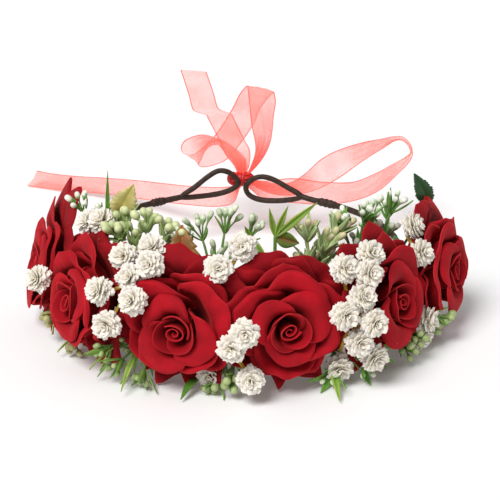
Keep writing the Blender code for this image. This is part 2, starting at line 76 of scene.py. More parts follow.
KEY_STRENGTH, KEY_SPREAD = 2.7, 0.5
KEY_DIRECTION = (0.42, 0.62, -0.95)
FILL_STRENGTH = 0.42
FLOOR_SIDE = 12.0
LENS, SENSOR_WIDTH = 113.04, 36.0
VIEW_TARGET = (0.0064, 0.0, 0.0311)
VIEW_DISTANCE = 0.9
VIEW_RISE = 22.3

# Each rose: azimuth, sideways turn of its face, upward tilt, share of the full cup depth, then its outermost
# petals. Each of those is (angle seen from the front of the flower, length in millimetres, how far it folds
# back, how pointed it is).
ROSES = {
    "rose_1": (-71.0, -7.0, 15.0, 0.66, (
        (80, 44, 4, 0.10), (122, 44, 1, 0.10), (152, 38, 1, 0.10), (48, 37, 3, 0.14), (15, 34, 3, 0.14),
        (186, 33, 1, 0.12), (222, 29, 5, 0.25), (262, 28, 5, 0.28), (312, 30, 5, 0.25))),
    "rose_2": (-40.5, -20.0, 11.0, 1.0, (
        (60, 38, 2, 0.12), (105, 39, 4, 0.08), (20, 33, 1, 0.15), (150, 37, 0, 0.08), (205, 30, 3, 0.2),
        (245, 29, 7, 0.28), (290, 30, 7, 0.28), (325, 30, 5, 0.25))),
    "rose_3": (-14.0, -2.0, 8.0, 1.0, (
        (58, 40, 0, 0.06), (96, 40, 3, 0.06), (4, 33, 0, 0.12), (132, 38, 0, 0.08), (180, 31, 0, 0.1),
        (234, 23, 1, 0.46), (250, 24.5, 1, 0.48), (275, 23.5, 1, 0.48), (307, 25.5, 1, 0.46))),
    "rose_4": (12.6, -2.0, 11.0, 1.0, (
        (66, 36, 0, 0.05), (104, 36, 2, 0.06), (78, 33, -3, 0.20), (20, 34, 0, 0.12), (140, 38, 0, 0.06),
        (196, 31, 0, 0.1), (262, 24, 1, 0.46), (300, 24, 1, 0.46), (338, 30, 3, 0.2))),
    "rose_5": (39.0, 16.0, 13.0, 1.0, (
        (116, 38, 2, 0.06), (78, 38, 2, 0.10), (35, 33, 0, 0.14), (160, 33, 0, 0.1), (232, 31, 6, 0.25),
        (275, 30, 7, 0.28), (318, 31, 5, 0.25))),
    "rose_6": (72.0, -6.0, 8.0, 1.0, (
        (96, 38, 2, 0.08), (55, 38, 4, 0.10), (15, 34, 2, 0.12), (150, 35, 0, 0.1), (205, 33, 2, 0.12),
        (250, 31, 6, 0.25), (278, 31, 7, 0.28), (318, 32, 6, 0.25))),
}
# Cup profiles of the petal rows, as (distance from the axis, height above the wire) in millimetres.
OUTER_PROFILE = ((4, 9.5), (12, 10), (20, 13), (27, 18), (31, 20.8), (35, 21.6), (39, 20.4))
SHOULDER_PROFILE = ((4, 10.5), (10, 11), (17, 14.5), (21.5, 19.5), (24.5, 24), (27.5, 26.8), (31, 27.2))
RIM_PROFILE = ((4, 12), (9, 13.5), (14, 17.5), (17.3, 23), (19.2, 28), (21.2, 31.2), (24.5, 32.2))
MIDDLE_PROFILE = ((3.5, 14), (6.5, 18.5), (9, 24.5), (10.6, 30), (12.8, 33.6), (16.2, 34.8), (18.5, 34.2))
INNER_PROFILE = ((3, 15), (5.4, 20), (7, 26), (8.2, 31.5), (9.2, 35))
# How the petals of a row lie: the cup they follow, how far they wrap round it, the roll of their edge as
# (radius, degrees), their ripple, half angle of their fan, tuck under the next one, point and shade.
OUTER_LIE = dict(profile=OUTER_PROFILE, wrap=0.95, roll=(1.8, 105), wave=1.5, half_fan=62, shade=0.34)
SHOULDER_LIE = dict(profile=SHOULDER_PROFILE, wrap=1.2, roll=(1.7, 105), wave=1.4, half_fan=70, tuck=3.4,
                    point=0.12, shade=0.12)
RIM_LIE = dict(profile=RIM_PROFILE, wrap=1.5, roll=(1.6, 100), wave=1.2, half_fan=74, tuck=3.6, point=0.06)
MIDDLE_LIE = dict(profile=MIDDLE_PROFILE, wrap=1.9, roll=(1.3, 90), wave=0.9, half_fan=76, tuck=3.2,
                  point=0.04)
INNER_LIE = dict(profile=INNER_PROFILE, wrap=2.5, roll=(0.7, 75), wave=0.3, half_fan=80, tuck=1.7, point=0.02,
                 shade=0.1)
# The rows inside the outermost petals: the part they belong to, lie, number, turn of the first one and how
# far the turns stray, lengths, how far they lean, and how much shorter they are under the heart.
PETAL_ROWS = (
    ("outer", SHOULDER_LIE, 5, 36, 14, (33, 36), (-3.0, 1.8), 12.5),
    ("inner", RIM_LIE, 4, 0, 12, (32, 34.5), (-2.4, 2.4), 8.0),
    ("inner", MIDDLE_LIE, 3, 40, 14, (29, 31.5), (-2.6, 3.0), 0.0),
    ("heart", INNER_LIE, 3, 0, 15, (21.5, 23.5), (-0.6, 0.8), 0.0),
)
# The well in the heart of a rose and the calyx behind it.
WELL_RADIUS, WELL_HEIGHT = 8.5, 17.0
FIXED_DEPTH = 9
CALYX_PROFILE = ((1.0, 2.5), (1.9, 3.2), (2.2, 5.0), (4.4, 7.4), (6.0, 9.6), (5.2, 10.6), (0.3, 10.8))
CALYX_GREEN, SEPAL_MIDDLE, SEPAL_EDGE = (0.07, 0.17, 0.035), (0.08, 0.2, 0.04), (0.10, 0.23, 0.05)

# Gypsophila sprays: azimuth of the root, then florets as (azimuth, outward, upward) from the wire.
SPRAYS = {
    "gypsophila_left_top": (-57.0, ((-54.0, 5, 40), (-47.5, 4, 43))),
    "gypsophila_left_side": (-59.0, ((-57.5, 33, 11),)),
    "gypsophila_left_fan": (-27.0, ((-31.1, 19, 36), (-24.0, 13, 41), (-26.8, 27, 29), (-21.9, 25, 37),
                                    (-32.5, 37, 23), (-23.6, 38, 22), (-29.5, 41, 7))),
    "gypsophila_centre_top": (-0.5, ((-4.6, 22, 37), (1.4, 13, 45))),
    "gypsophila_centre_low": (0.5, ((-1.2, 41, 2), (1.6, 47, 13), (3.0, 38, -17), (-7.0, 22, -22.4))),
    "gypsophila_right_fan": (26.0, ((33.8, 28, 39), (26.6, 28, 34), (31.5, 34, 31.5), (28.7, 38, 21),
                                    (24.0, 40, 14), (30.0, 45, 9), (27.5, 41, -2), (31.5, 41, -13),
                                    (25.4, 29, -21))),
    "gypsophila_right_top": (56.0, ((60.0, 15, 36), (57.0, 23, 24))),
    "gypsophila_right_low": (56.0, ((55.6, 30, -12), (55.0, 27, -22.4))),
}
# The petals of a floret, as (angle from its middle, number) of each layer.
FLORET_LAYERS = ((8, 5), (24, 9), (41, 13), (58, 16), (75, 18), (92, 16), (108, 10))

# Routes behind the ring as (sideways, behind it, above its wire) in millimetres. First the two tie loops,
# then the ribbon runs, each as its two edges side by side.
LEFT_LOOP = (
    (-36.0, -7.4, 0.6), (-28.0, -4.6, 6.0), (-20.0, -2.4, 12.0), (-13.5, -1.0, 15.4), (-7.5, -0.4, 14.6),
    (-2.6, 0.0, 10.6), (-1.0, 0.0, 6.6), (-4.6, 0.0, 3.2), (-12.0, -0.8, 0.6), (-24.0, -3.4, -0.4),
)
RIGHT_LOOP = (
    (38.0, -8.0, 1.2), (28.5, -4.6, 6.6), (20.5, -2.2, 10.4), (13.5, -1.0, 11.6), (7.4, -0.2, 9.4),
    (3.9, 0.0, 5.0), (5.0, 0.0, 0.2), (9.4, -0.4, -2.8), (17.0, -1.6, -4.0), (29.0, -4.8, -2.6),
)
UPRIGHT_TAIL = (
    ((-1.0, 5.6, 9.5), (2.6, 5.6, 9.7)), ((-3.2, 6.8, 15.5), (6.0, 6.8, 16.3)),
    ((-9.2, 9.0, 23.1), (6.4, 9.0, 25.4)), ((-14.2, 14.0, 33.0), (2.6, 14.0, 31.6)),
    ((-20.2, 18.8, 43.6), (-4.0, 18.8, 44.2)), ((-21.4, 19.8, 45.4), (-5.4, 19.8, 46.0)),
    ((-27.8, 22.4, 46.6), (-12.2, 22.4, 48.0)), ((-30.2, 23.6, 48.8), (-14.2, 23.6, 50.4)),
    ((-32.6, 26.5, 57.5), (-16.8, 26.5, 59.0)),
    ((-37.4, 31.0, 71.6), (-21.0, 31.0, 70.3)),
)
UPPER_LOOP = (
    ((2.4, 5.8, 8.6), (4.6, 5.8, 10.0)), ((6.4, 6.4, 14.5), (13.0, 6.4, 18.5)),
    ((9.6, 9.0, 23.4), (19.0, 11.0, 29.0)), ((9.4, 10.0, 32.3), (20.6, 15.0, 36.6)),
    ((7.4, 13.0, 41.2), (21.4, 17.0, 46.1)),
    ((5.6, 20.0, 56.0), (22.6, 20.0, 53.4)), ((4.7, 22.6, 62.6), (21.8, 22.4, 58.4)),
    ((3.6, 25.6, 62.2), (20.4, 25.6, 57.6)),
    ((-0.5, 29.0, 55.9), (13.0, 29.0, 47.0)), ((-6.0, 28.5, 45.0), (8.5, 28.5, 36.0)),
    ((-15.5, 28.0, 30.0), (-0.8, 28.0, 22.0)), ((-27.7, 28.0, 17.8), (-8.7, 28.0, 12.8)),
    ((-35.2, 26.8, 17.0), (-19.2, 26.8, 8.8)), ((-37.7, 24.0, 22.4), (-26.1, 24.0, 9.9)),
    ((-34.0, 21.5, 28.8), (-24.0, 19.5, 17.0)), ((-24.5, 23.0, 31.4), (-19.2, 13.0, 27.0)),
    ((-14.0, 22.0, 29.2), (-12.9, 10.0, 29.0)), ((-3.4, 18.0, 23.9), (-7.5, 9.5, 21.5)),
    ((3.4, 12.0, 18.0), (-3.0, 8.5, 15.0)), ((3.2, 6.6, 11.0), (0.6, 6.4, 9.5)),
)
RIGHT_BOW_LOOP = (
    ((2.6, 5.6, 7.6), (2.2, 5.6, 5.0)), ((9.0, 5.8, 7.4), (8.4, 5.8, -0.5)),
    ((17.7, 6.5, 6.5), (16.9, 6.5, -7.3)), ((33.5, 8.0, 7.5), (33.1, 7.5, -9.0)),
    ((51.3, 9.0, 4.8), (50.9, 8.5, -10.5)), ((70.9, 9.5, 4.4), (71.3, 9.0, -8.6)),
    ((84.5, 13.0, 8.3), (87.3, 9.0, -2.0)), ((99.4, 18.0, 14.6), (100.5, 7.5, 11.0)),
    ((109.8, 22.0, 20.6), (108.6, 9.0, 23.4)), ((103.0, 29.0, 28.4), (101.4, 18.0, 30.4)),
    ((84.0, 32.0, 24.4), (88.0, 24.0, 19.6)), ((66.0, 30.0, 20.0), (76.6, 26.0, 11.0)),
    ((52.5, 26.0, 14.5), (64.0, 23.0, 2.5)), ((41.0, 21.0, 5.5), (49.5, 18.5, -4.0)),
    ((30.0, 15.0, 1.5), (33.0, 14.0, -6.5)), ((17.0, 10.0, 4.0), (19.5, 9.4, -3.5)),
    ((4.2, 6.4, 8.0), (4.4, 6.2, 5.4)),
)
TRAILING_TAIL = (
    ((0.6, 5.8, 7.6), (-0.4, 5.8, 5.4)), ((-3.0, 8.6, 2.5), (-3.6, 7.6, -8.5)),
    ((-14.0, 13.0, -0.4), (-14.1, 11.0, -12.9)), ((-34.3, 27.0, -4.5), (-33.0, 24.0, -16.7)),
    ((-65.9, 55.0, -11.1), (-64.5, 51.0, -23.0)),
    ((-91.7, 75.0, -16.2), (-90.3, 70.0, -26.4)), ((-121.9, 93.0, -20.6), (-121.8, 87.0, -29.9)),
    ((-141.8, 106.0, -22.0), (-147.9, 98.0, -30.3)),
)
# The ribbon runs: the nodes they stand for, edges, rows along them, crown and ripple in millimetres, seed.
RIBBONS = {
    "ribbon_upright_tail": (["bow_upright_tail"], UPRIGHT_TAIL, 70, 1.2, 0.35, 11),
    "ribbon_upper_loops": (["bow_upper_loop", "bow_left_loop"], UPPER_LOOP, 190, 1.2, 0.35, 12),
    "ribbon_right_loop": (["bow_right_loop"], RIGHT_BOW_LOOP, 190, 1.4, 0.4, 13),
    "ribbon_trailing_tail": (["bow_trailing_tail"], TRAILING_TAIL, 130, 1.0, 0.3, 14),
}
KNOT_CENTRE = (0.6, 5.4, 7.8)


# ---------------------------------------------------------------- places and small maths

def polar(azimuth, radius, height):
    turn = math.radians(azimuth)
    return Vector((radius * math.sin(turn), -radius * math.cos(turn), height))


def spot(azimuth, outward, upward):
    """A point past the wire by millimetres outward and upward."""
    return polar(azimuth, RING_RADIUS + outward * MM, RING_HEIGHT + upward * MM)


def behind_ring(place):
    """A point given sideways, behind the back of the ring and above its wire, in millimetres."""
    return Vector((place[0] * MM, RING_RADIUS + place[1] * MM, RING_HEIGHT + place[2] * MM))


def through(points, count, closed=False):
    """Points evenly spaced along a smooth curve through the given ones."""
    keys = np.array([tuple(point) for point in points], float)
    if closed:
        keys = np.vstack([keys[-1], keys, keys[0], keys[1]])
    else:
        keys = np.vstack([2 * keys[0] - keys[1], keys, 2 * keys[-1] - keys[-2]])
    found = []
    for before, start, end, after in zip(keys, keys[1:], keys[2:], keys[3:]):
        t = np.linspace(0, 1, 24, endpoint=False)[:, None]
        square = (2 * before - 5 * start + 4 * end - after) * t ** 2
        cube = (3 * start - before - 3 * end + after) * t ** 3
        found.append(0.5 * (2 * start + (end - before) * t + square + cube))
    dense = np.vstack(found + [keys[-2][None]])
    run = np.concatenate([[0], np.cumsum(np.linalg.norm(np.diff(dense, axis=0), axis=1))])
    at = np.linspace(0, run[-1], count + 1 if closed else count)
    if closed:
        at = at[:-1]
    return np.stack([np.interp(at, run, dense[:, axis]) for axis in range(dense.shape[1])], 1)


def unit(vectors):
    return vectors / np.maximum(np.linalg.norm(vectors, axis=-1, keepdims=True), 1e-12)


def grid_faces(rows, columns, closed=False, offset=0):
    """Quads of a grid of points; closed joins the last column to the first."""
    wide = columns if closed else columns - 1
    row, column = np.meshgrid(np.arange(rows - 1), np.arange(wide), indexing="ij")
    after = (column + 1) % columns
    quads = np.stack([row * columns + column, row * columns + after, (row + 1) * columns + after,
                      (row + 1) * columns + column], -1)
    return (quads.reshape(-1, 4) + offset).tolist()


class Basket:
    """Gathers the points, faces, colours and UVs of one piece."""

    def __init__(self):
        self.points, self.faces, self.tones, self.uvs = [], [], [], []
        self.count = 0

    def add(self, points, faces, tone=(1, 1, 1), uv=None):
        points = np.asarray(points, float).reshape(-1, 3)
        tone = np.broadcast_to(np.asarray(tone, float), (len(points), 3))
        uv = np.zeros((len(points), 2)) if uv is None else np.asarray(uv, float).reshape(-1, 2)
        self.faces += [[index + self.count for index in face] for face in faces]
        self.points.append(points)
        self.tones.append(tone)
        self.uvs.append(uv)
        self.count += len(points)

    def mesh(self, name):
        points = np.vstack(self.points)
        made = bpy.data.meshes.new(name)
        made.from_pydata(points.tolist(), [], self.faces)
        tones = np.concatenate([np.vstack(self.tones), np.ones((len(points), 1))], 1)
        made.attributes.new("tone", "FLOAT_COLOR", "POINT").data.foreach_set("color", tones.ravel())
        layer = made.uv_layers.new(name="flat")
        corner = np.zeros(len(made.loops), int)
        made.loops.foreach_get("vertex_index", corner)
        layer.data.foreach_set("uv", np.vstack(self.uvs)[corner].ravel())
        made.validate()
        made.update()
        return made


def place_object(name, mesh, material):
    made = bpy.data.objects.new(name, mesh)
    bpy.context.scene.collection.objects.link(made)
    mesh.materials.clear()
    mesh.materials.append(material)
    mesh.shade_smooth()
    return made


def face_outward(mesh):
    shape = bmesh.new()
    shape.from_mesh(mesh)
    bmesh.ops.recalc_face_normals(shape, faces=shape.faces)
    shape.to_mesh(mesh)
    shape.free()


def tube(basket, path, radius, tone=(1, 1, 1), sides=8, closed=False):
    """A round tube along the path with domed ends; radius may change along it."""
    path = np.asarray(path, float)
    count = len(path)
    radius = np.broadcast_to(np.asarray(radius, float), (count,)).copy()
    tone = np.broadcast_to(np.asarray(tone, float), (count, 3))
    if closed:
        ahead = unit(np.roll(path, -1, 0) - np.roll(path, 1, 0))
    else:
        ahead = unit(np.gradient(path, axis=0))
    side = np.zeros_like(path)
    guess = np.array([0, 0, 1.0]) if abs(ahead[0][2]) < 0.9 else np.array([1.0, 0, 0])
    for step in range(count):
        guess = guess - ahead[step] * guess.dot(ahead[step])
        guess = guess / np.linalg.norm(guess)
        side[step] = guess
    third = np.cross(ahead, side)
    run = np.concatenate([[0], np.cumsum(np.linalg.norm(np.diff(path, axis=0), axis=1))])
    if not closed:
        dome = np.array([0.0, 0.38, 0.71, 0.92])
        reach = np.sqrt(1 - dome ** 2)
        first = [path[0] - ahead[0] * radius[0] * r for r in reach]
        last = [path[-1] + ahead[-1] * radius[-1] * r for r in reach[::-1]]
        path = np.vstack([first, path, last])
        side = np.vstack([[side[0]] * 4, side, [side[-1]] * 4])
        third = np.vstack([[third[0]] * 4, third, [third[-1]] * 4])
        tone = np.vstack([[tone[0]] * 4, tone, [tone[-1]] * 4])
        run = np.concatenate([[run[0]] * 4, run, [run[-1]] * 4])
        radius = np.concatenate([radius[0] * np.maximum(dome, 0.03), radius,
                                 radius[-1] * np.maximum(dome[::-1], 0.03)])
    turn = np.linspace(0, 2 * math.pi, sides, endpoint=False)
    ring = (path[:, None] + radius[:, None, None] * (np.cos(turn)[None, :, None] * side[:, None]
                                                     + np.sin(turn)[None, :, None] * third[:, None]))
    rows = len(path)
    faces = grid_faces(rows, sides, closed=True)
    if closed:
        faces += [[(rows - 1) * sides + k, (rows - 1) * sides + (k + 1) % sides, (k + 1) % sides, k]
                  for k in range(sides)]
    else:
        faces.append(list(range(sides))[::-1])
        faces.append([(rows - 1) * sides + k for k in range(sides)])
    around = np.broadcast_to(turn / (2 * math.pi), (rows, sides))
    along = np.broadcast_to(run[:, None], (rows, sides))
    basket.add(ring, faces, np.repeat(tone, sides, 0), np.stack([around, along], -1))


# ---------------------------------------------------------------- materials

def node_material(name):
    made = bpy.data.materials.new(name)
    made.use_nodes = True
    tree = made.node_tree
    return made, tree, tree.nodes["Principled BSDF"]


def noise(tree, vector, scale, detail=2.0):
    texture = tree.nodes.new("ShaderNodeTexNoise")
    texture.inputs["Scale"].default_value = scale
    texture.inputs["Detail"].default_value = detail
    tree.links.new(vector, texture.inputs["Vector"])
    return texture.outputs["Fac"]


def ramp(tree, factor, stops):
    made = tree.nodes.new("ShaderNodeValToRGB")
    made.color_ramp.elements[0].position = stops[0][0]
    made.color_ramp.elements[0].color = (*stops[0][1], 1)
    made.color_ramp.elements[1].position = stops[-1][0]
    made.color_ramp.elements[1].color = (*stops[-1][1], 1)
    for place, colour in stops[1:-1]:
        made.color_ramp.elements.new(place).color = (*colour, 1)
    tree.links.new(factor, made.inputs["Fac"])
    return made.outputs["Color"]


def mixed(tree, kind, factor, first, second):
    made = tree.nodes.new("ShaderNodeMix")
    made.data_type = "RGBA"
    made.blend_type = kind
    for name, value in (("Factor", factor), ("A", first), ("B", second)):
        socket = made.inputs[name]
        if isinstance(value, (int, float)):
            socket.default_value = value
        elif isinstance(value, tuple):
            socket.default_value = (*value, 1)
        else:
            tree.links.new(value, socket)
    return made.outputs["Result"]


def maths(tree, operation, first, second=0.0):
    made = tree.nodes.new("ShaderNodeMath")
    made.operation = operation
    for socket, value in zip(made.inputs, (first, second)):
        if isinstance(value, (int, float)):
            socket.default_value = value
        else:
            tree.links.new(value, socket)
    return made.outputs[0]


def bump(tree, shader, height, strength, distance):
    made = tree.nodes.new("ShaderNodeBump")
    made.inputs["Strength"].default_value = strength
    made.inputs["Distance"].default_value = distance
    tree.links.new(height, made.inputs["Height"])
    tree.links.new(made.outputs["Normal"], shader.inputs["Normal"])


def object_place(tree):
    return tree.nodes.new("ShaderNodeTexCoord").outputs["Object"]


def flat_place(tree):
    """How far a point is across or round its piece, as a share, and along it, in metres."""
    uv = tree.nodes.new("ShaderNodeUVMap")
    uv.uv_map = "flat"
    split = tree.nodes.new("ShaderNodeSeparateXYZ")
    tree.links.new(uv.outputs["UV"], split.inputs[0])
    return split.outputs["X"], split.outputs["Y"]


def tone_of(tree):
    made = tree.nodes.new("ShaderNodeAttribute")
    made.attribute_name = "tone"
    return made.outputs["Color"]


def velvet_material(name, dark, bright):
    """Flocked velvet: fine pile, soft cloudy tone and a pale sheen, with a painted highlight along the rolled
    petal rims and painted shade deep in the cups.
    """
    made, tree, shader = node_material(name)
    place = object_place(tree)
    clouds = noise(tree, place, 90, 3)
    base = ramp(tree, clouds, ((0.3, dark), (0.7, bright)))
    split = tree.nodes.new("ShaderNodeSeparateColor")
    tree.links.new(tone_of(tree), split.inputs[0])
    # Painted highlight along the rolled rims, then painted shade deep in the cups.
    rim_highlighted = mixed(tree, "MIX", split.outputs[0], base, VELVET_PAINTED_RIM_HIGHLIGHT)
    shaded = mixed(tree, "MULTIPLY", split.outputs[1], rim_highlighted, VELVET_SHADOW)
    pile = noise(tree, place, 2600, 2)
    speck = ramp(tree, pile, ((0.35, (0.86, 0.86, 0.86)), (0.65, (1.1, 1.1, 1.1))))
    final = mixed(tree, "MULTIPLY", 0.7, shaded, speck)
    tree.links.new(final, shader.inputs["Base Color"])
    shader.inputs["Roughness"].default_value = 0.82
    shader.inputs["Specular IOR Level"].default_value = 0.2
    shader.inputs["Sheen Weight"].default_value = 0.5
    shader.inputs["Sheen Roughness"].default_value = 0.4
    shader.inputs["Sheen Tint"].default_value = (0.9, 0.06, 0.06, 1)
    bump(tree, shader, pile, 0.35, 0.0004)
    return made


def foam_material(name):
    """Soft foam florets with a matt, slightly see-through look."""
    made, tree, shader = node_material(name)
    place = object_place(tree)
    grain = noise(tree, place, 900, 3)
    base = mixed(tree, "MULTIPLY", 1.0, tone_of(tree),
                 ramp(tree, grain, ((0.3, (0.88, 0.87, 0.84)), (0.7, (1, 1, 1)))))
    tree.links.new(base, shader.inputs["Base Color"])
    shader.inputs["Roughness"].default_value = 0.75
    shader.inputs["Subsurface Weight"].default_value = 0.35
    shader.inputs["Subsurface Radius"].default_value = (0.004, 0.004, 0.003)
    shader.inputs["Subsurface Scale"].default_value = 0.3
    bump(tree, shader, grain, 0.25, 0.0003)
    return made


def foliage_material(name, roughness=0.5):
    """Moulded leaves, buds and stems, coloured per point, with mottling and fine grain."""
    made, tree, shader = node_material(name)
    place = object_place(tree)
    mottle = noise(tree, place, 160, 4)
    base = mixed(tree, "MULTIPLY", 1.0, tone_of(tree),
                 ramp(tree, mottle, ((0.25, (0.62, 0.66, 0.55)), (0.75, (1.25, 1.2, 1.15)))))
    tree.links.new(base, shader.inputs["Base Color"])
    shader.inputs["Roughness"].default_value = roughness
    shader.inputs["Subsurface Weight"].default_value = 0.08
    shader.inputs["Subsurface Radius"].default_value = (0.002, 0.003, 0.001)
    bump(tree, shader, noise(tree, place, 1400, 3), 0.3, 0.0003)
    return made


def tape_material(name, dark, light):
    """Crepe floral tape wound round wire: slanting laps and fine crinkle, each lap darker where it is low and
    lighter where it rises.
    """
    made, tree, shader = node_material(name)
    place = object_place(tree)
    around, along = flat_place(tree)
    laps = maths(tree, "FRACT", maths(tree, "ADD", around, maths(tree, "MULTIPLY", along, LAPS_PER_METRE)))
    crinkle = noise(tree, place, 1500, 4)
    height = maths(tree, "ADD", laps, maths(tree, "MULTIPLY", crinkle, 0.8))
    base = ramp(tree, height, ((0.2, dark), (0.9, light), (1.5, light)))
    tree.links.new(base, shader.inputs["Base Color"])
    shader.inputs["Roughness"].default_value = 0.6
    shader.inputs["Specular IOR Level"].default_value = 0.35
    bump(tree, shader, height, 0.5, 0.0005)
    return made


def organza_material(name, thin, thick, cover, glow):
    """Sheer woven ribbon: see-through body, fine crossing threads and a tight woven edge on each side.

    The glow is the daylight that comes through the cloth and keeps its shaded side warm.
    """
    made, tree, shader = node_material(name)
    across, along = flat_place(tree)
    from_middle = maths(tree, "ABSOLUTE", maths(tree, "SUBTRACT", across, 0.5))
    edge = maths(tree, "GREATER_THAN", from_middle, 0.5 - SELVEDGE)
    warp = maths(tree, "SINE", maths(tree, "MULTIPLY", across, 2 * math.pi * WARP_THREADS))
    weft = maths(tree, "SINE", maths(tree, "MULTIPLY", along, 2 * math.pi * WEFT_THREADS_PER_METRE))
    weave = maths(tree, "MULTIPLY", maths(tree, "ADD", warp, weft), 0.5)
    clouds = noise(tree, object_place(tree), 70, 3)
    opacity = maths(tree, "ADD", maths(tree, "MULTIPLY", weave, 0.07),
                    maths(tree, "ADD", cover - 0.12, maths(tree, "MULTIPLY", clouds, 0.24)))
    bunched = maths(tree, "MINIMUM", maths(tree, "MULTIPLY", tone_of(tree), 0.75), 0.6)
    solid = maths(tree, "MAXIMUM", maths(tree, "ADD", opacity, bunched), maths(tree, "MULTIPLY", edge, 0.82))
    tree.links.new(solid, shader.inputs["Alpha"])
    tree.links.new(mixed(tree, "MIX", solid, thin, thick), shader.inputs["Base Color"])
    shader.inputs["Roughness"].default_value = 0.42
    shader.inputs["Sheen Weight"].default_value = 0.3
    shader.inputs["Sheen Roughness"].default_value = 0.3
    shader.inputs["Sheen Tint"].default_value = (1.0, 0.55, 0.5, 1)
    shader.inputs["Subsurface Weight"].default_value = 0.4
    shader.inputs["Subsurface Radius"].default_value = (0.003, 0.002, 0.002)
    shader.inputs["Subsurface Scale"].default_value = 1.0
    shader.inputs["Emission Color"].default_value = (*thin, 1)
    shader.inputs["Emission Strength"].default_value = glow
    bump(tree, shader, weave, 0.15, 0.0001)
    return made


MATERIALS = {}
# Colour of the painted highlight on the rolled petal rims, and of the painted shade deep in the cups.
VELVET_PAINTED_RIM_HIGHLIGHT = (0.70, 0.035, 0.04)
VELVET_SHADOW = (0.16, 0.05, 0.08)
LAPS_PER_METRE = 190
WARP_THREADS, WEFT_THREADS_PER_METRE = 46, 2600
SELVEDGE = 0.038


def toned(colour, share):
    return tuple(value * share for value in colour)


def make_materials(velvet, ribbon, tape):
    """Makes every material; the velvet, ribbon and tape follow the chosen colours."""
    thin_ribbon = (min(1.0, ribbon[0] * 0.85 + 0.35), min(1.0, ribbon[1] + 0.20), min(1.0, ribbon[2] + 0.14))
    MATERIALS["velvet"] = velvet_material("velvet_red", toned(velvet, 0.64), velvet)
    # The bud's velvet is a slightly darker copy of the same cloth: painted shade in the heart of the rose.
    MATERIALS["deep_velvet"] = velvet_material("velvet_red_painted_shade", toned(velvet, 0.61), toned(velvet, 0.96))
    MATERIALS["bloom"] = foam_material("foam_white")
    MATERIALS["foliage"] = foliage_material("foliage")
    MATERIALS["brown_tape"] = tape_material("floral_tape_brown", toned(tape, 0.24), tape)
    MATERIALS["green_tape"] = tape_material("floral_tape_green", (0.015, 0.05, 0.012), (0.07, 0.17, 0.05))
    MATERIALS["organza"] = organza_material("organza_red", thin_ribbon, ribbon, cover=0.26, glow=0.3)
    MATERIALS["gathered"] = organza_material("organza_gathered", toned(ribbon, 0.9), toned(ribbon, 0.72),
                                             cover=0.88, glow=0.05)
    MATERIALS["calyx"] = foliage_material("calyx_green", 0.55)


# ---------------------------------------------------------------- roses

def profile_reader(profile):
    """Reads the (radius, height) at a distance along a cup profile, which runs straight on past its end."""
    dense = through([(r, h, 0) for r, h in profile], 160)[:, :2]
    run = np.concatenate([[0], np.cumsum(np.linalg.norm(np.diff(dense, axis=0), axis=1))])
    last = unit((dense[-1] - dense[-4])[None])[0]

    def read(distance):
        over = np.maximum(distance - run[-1], 0)
        radius = np.interp(distance, run, dense[:, 0]) + over * last[0]
        height = np.interp(distance, run, dense[:, 1]) + over * last[1]
        return radius, height

    return read


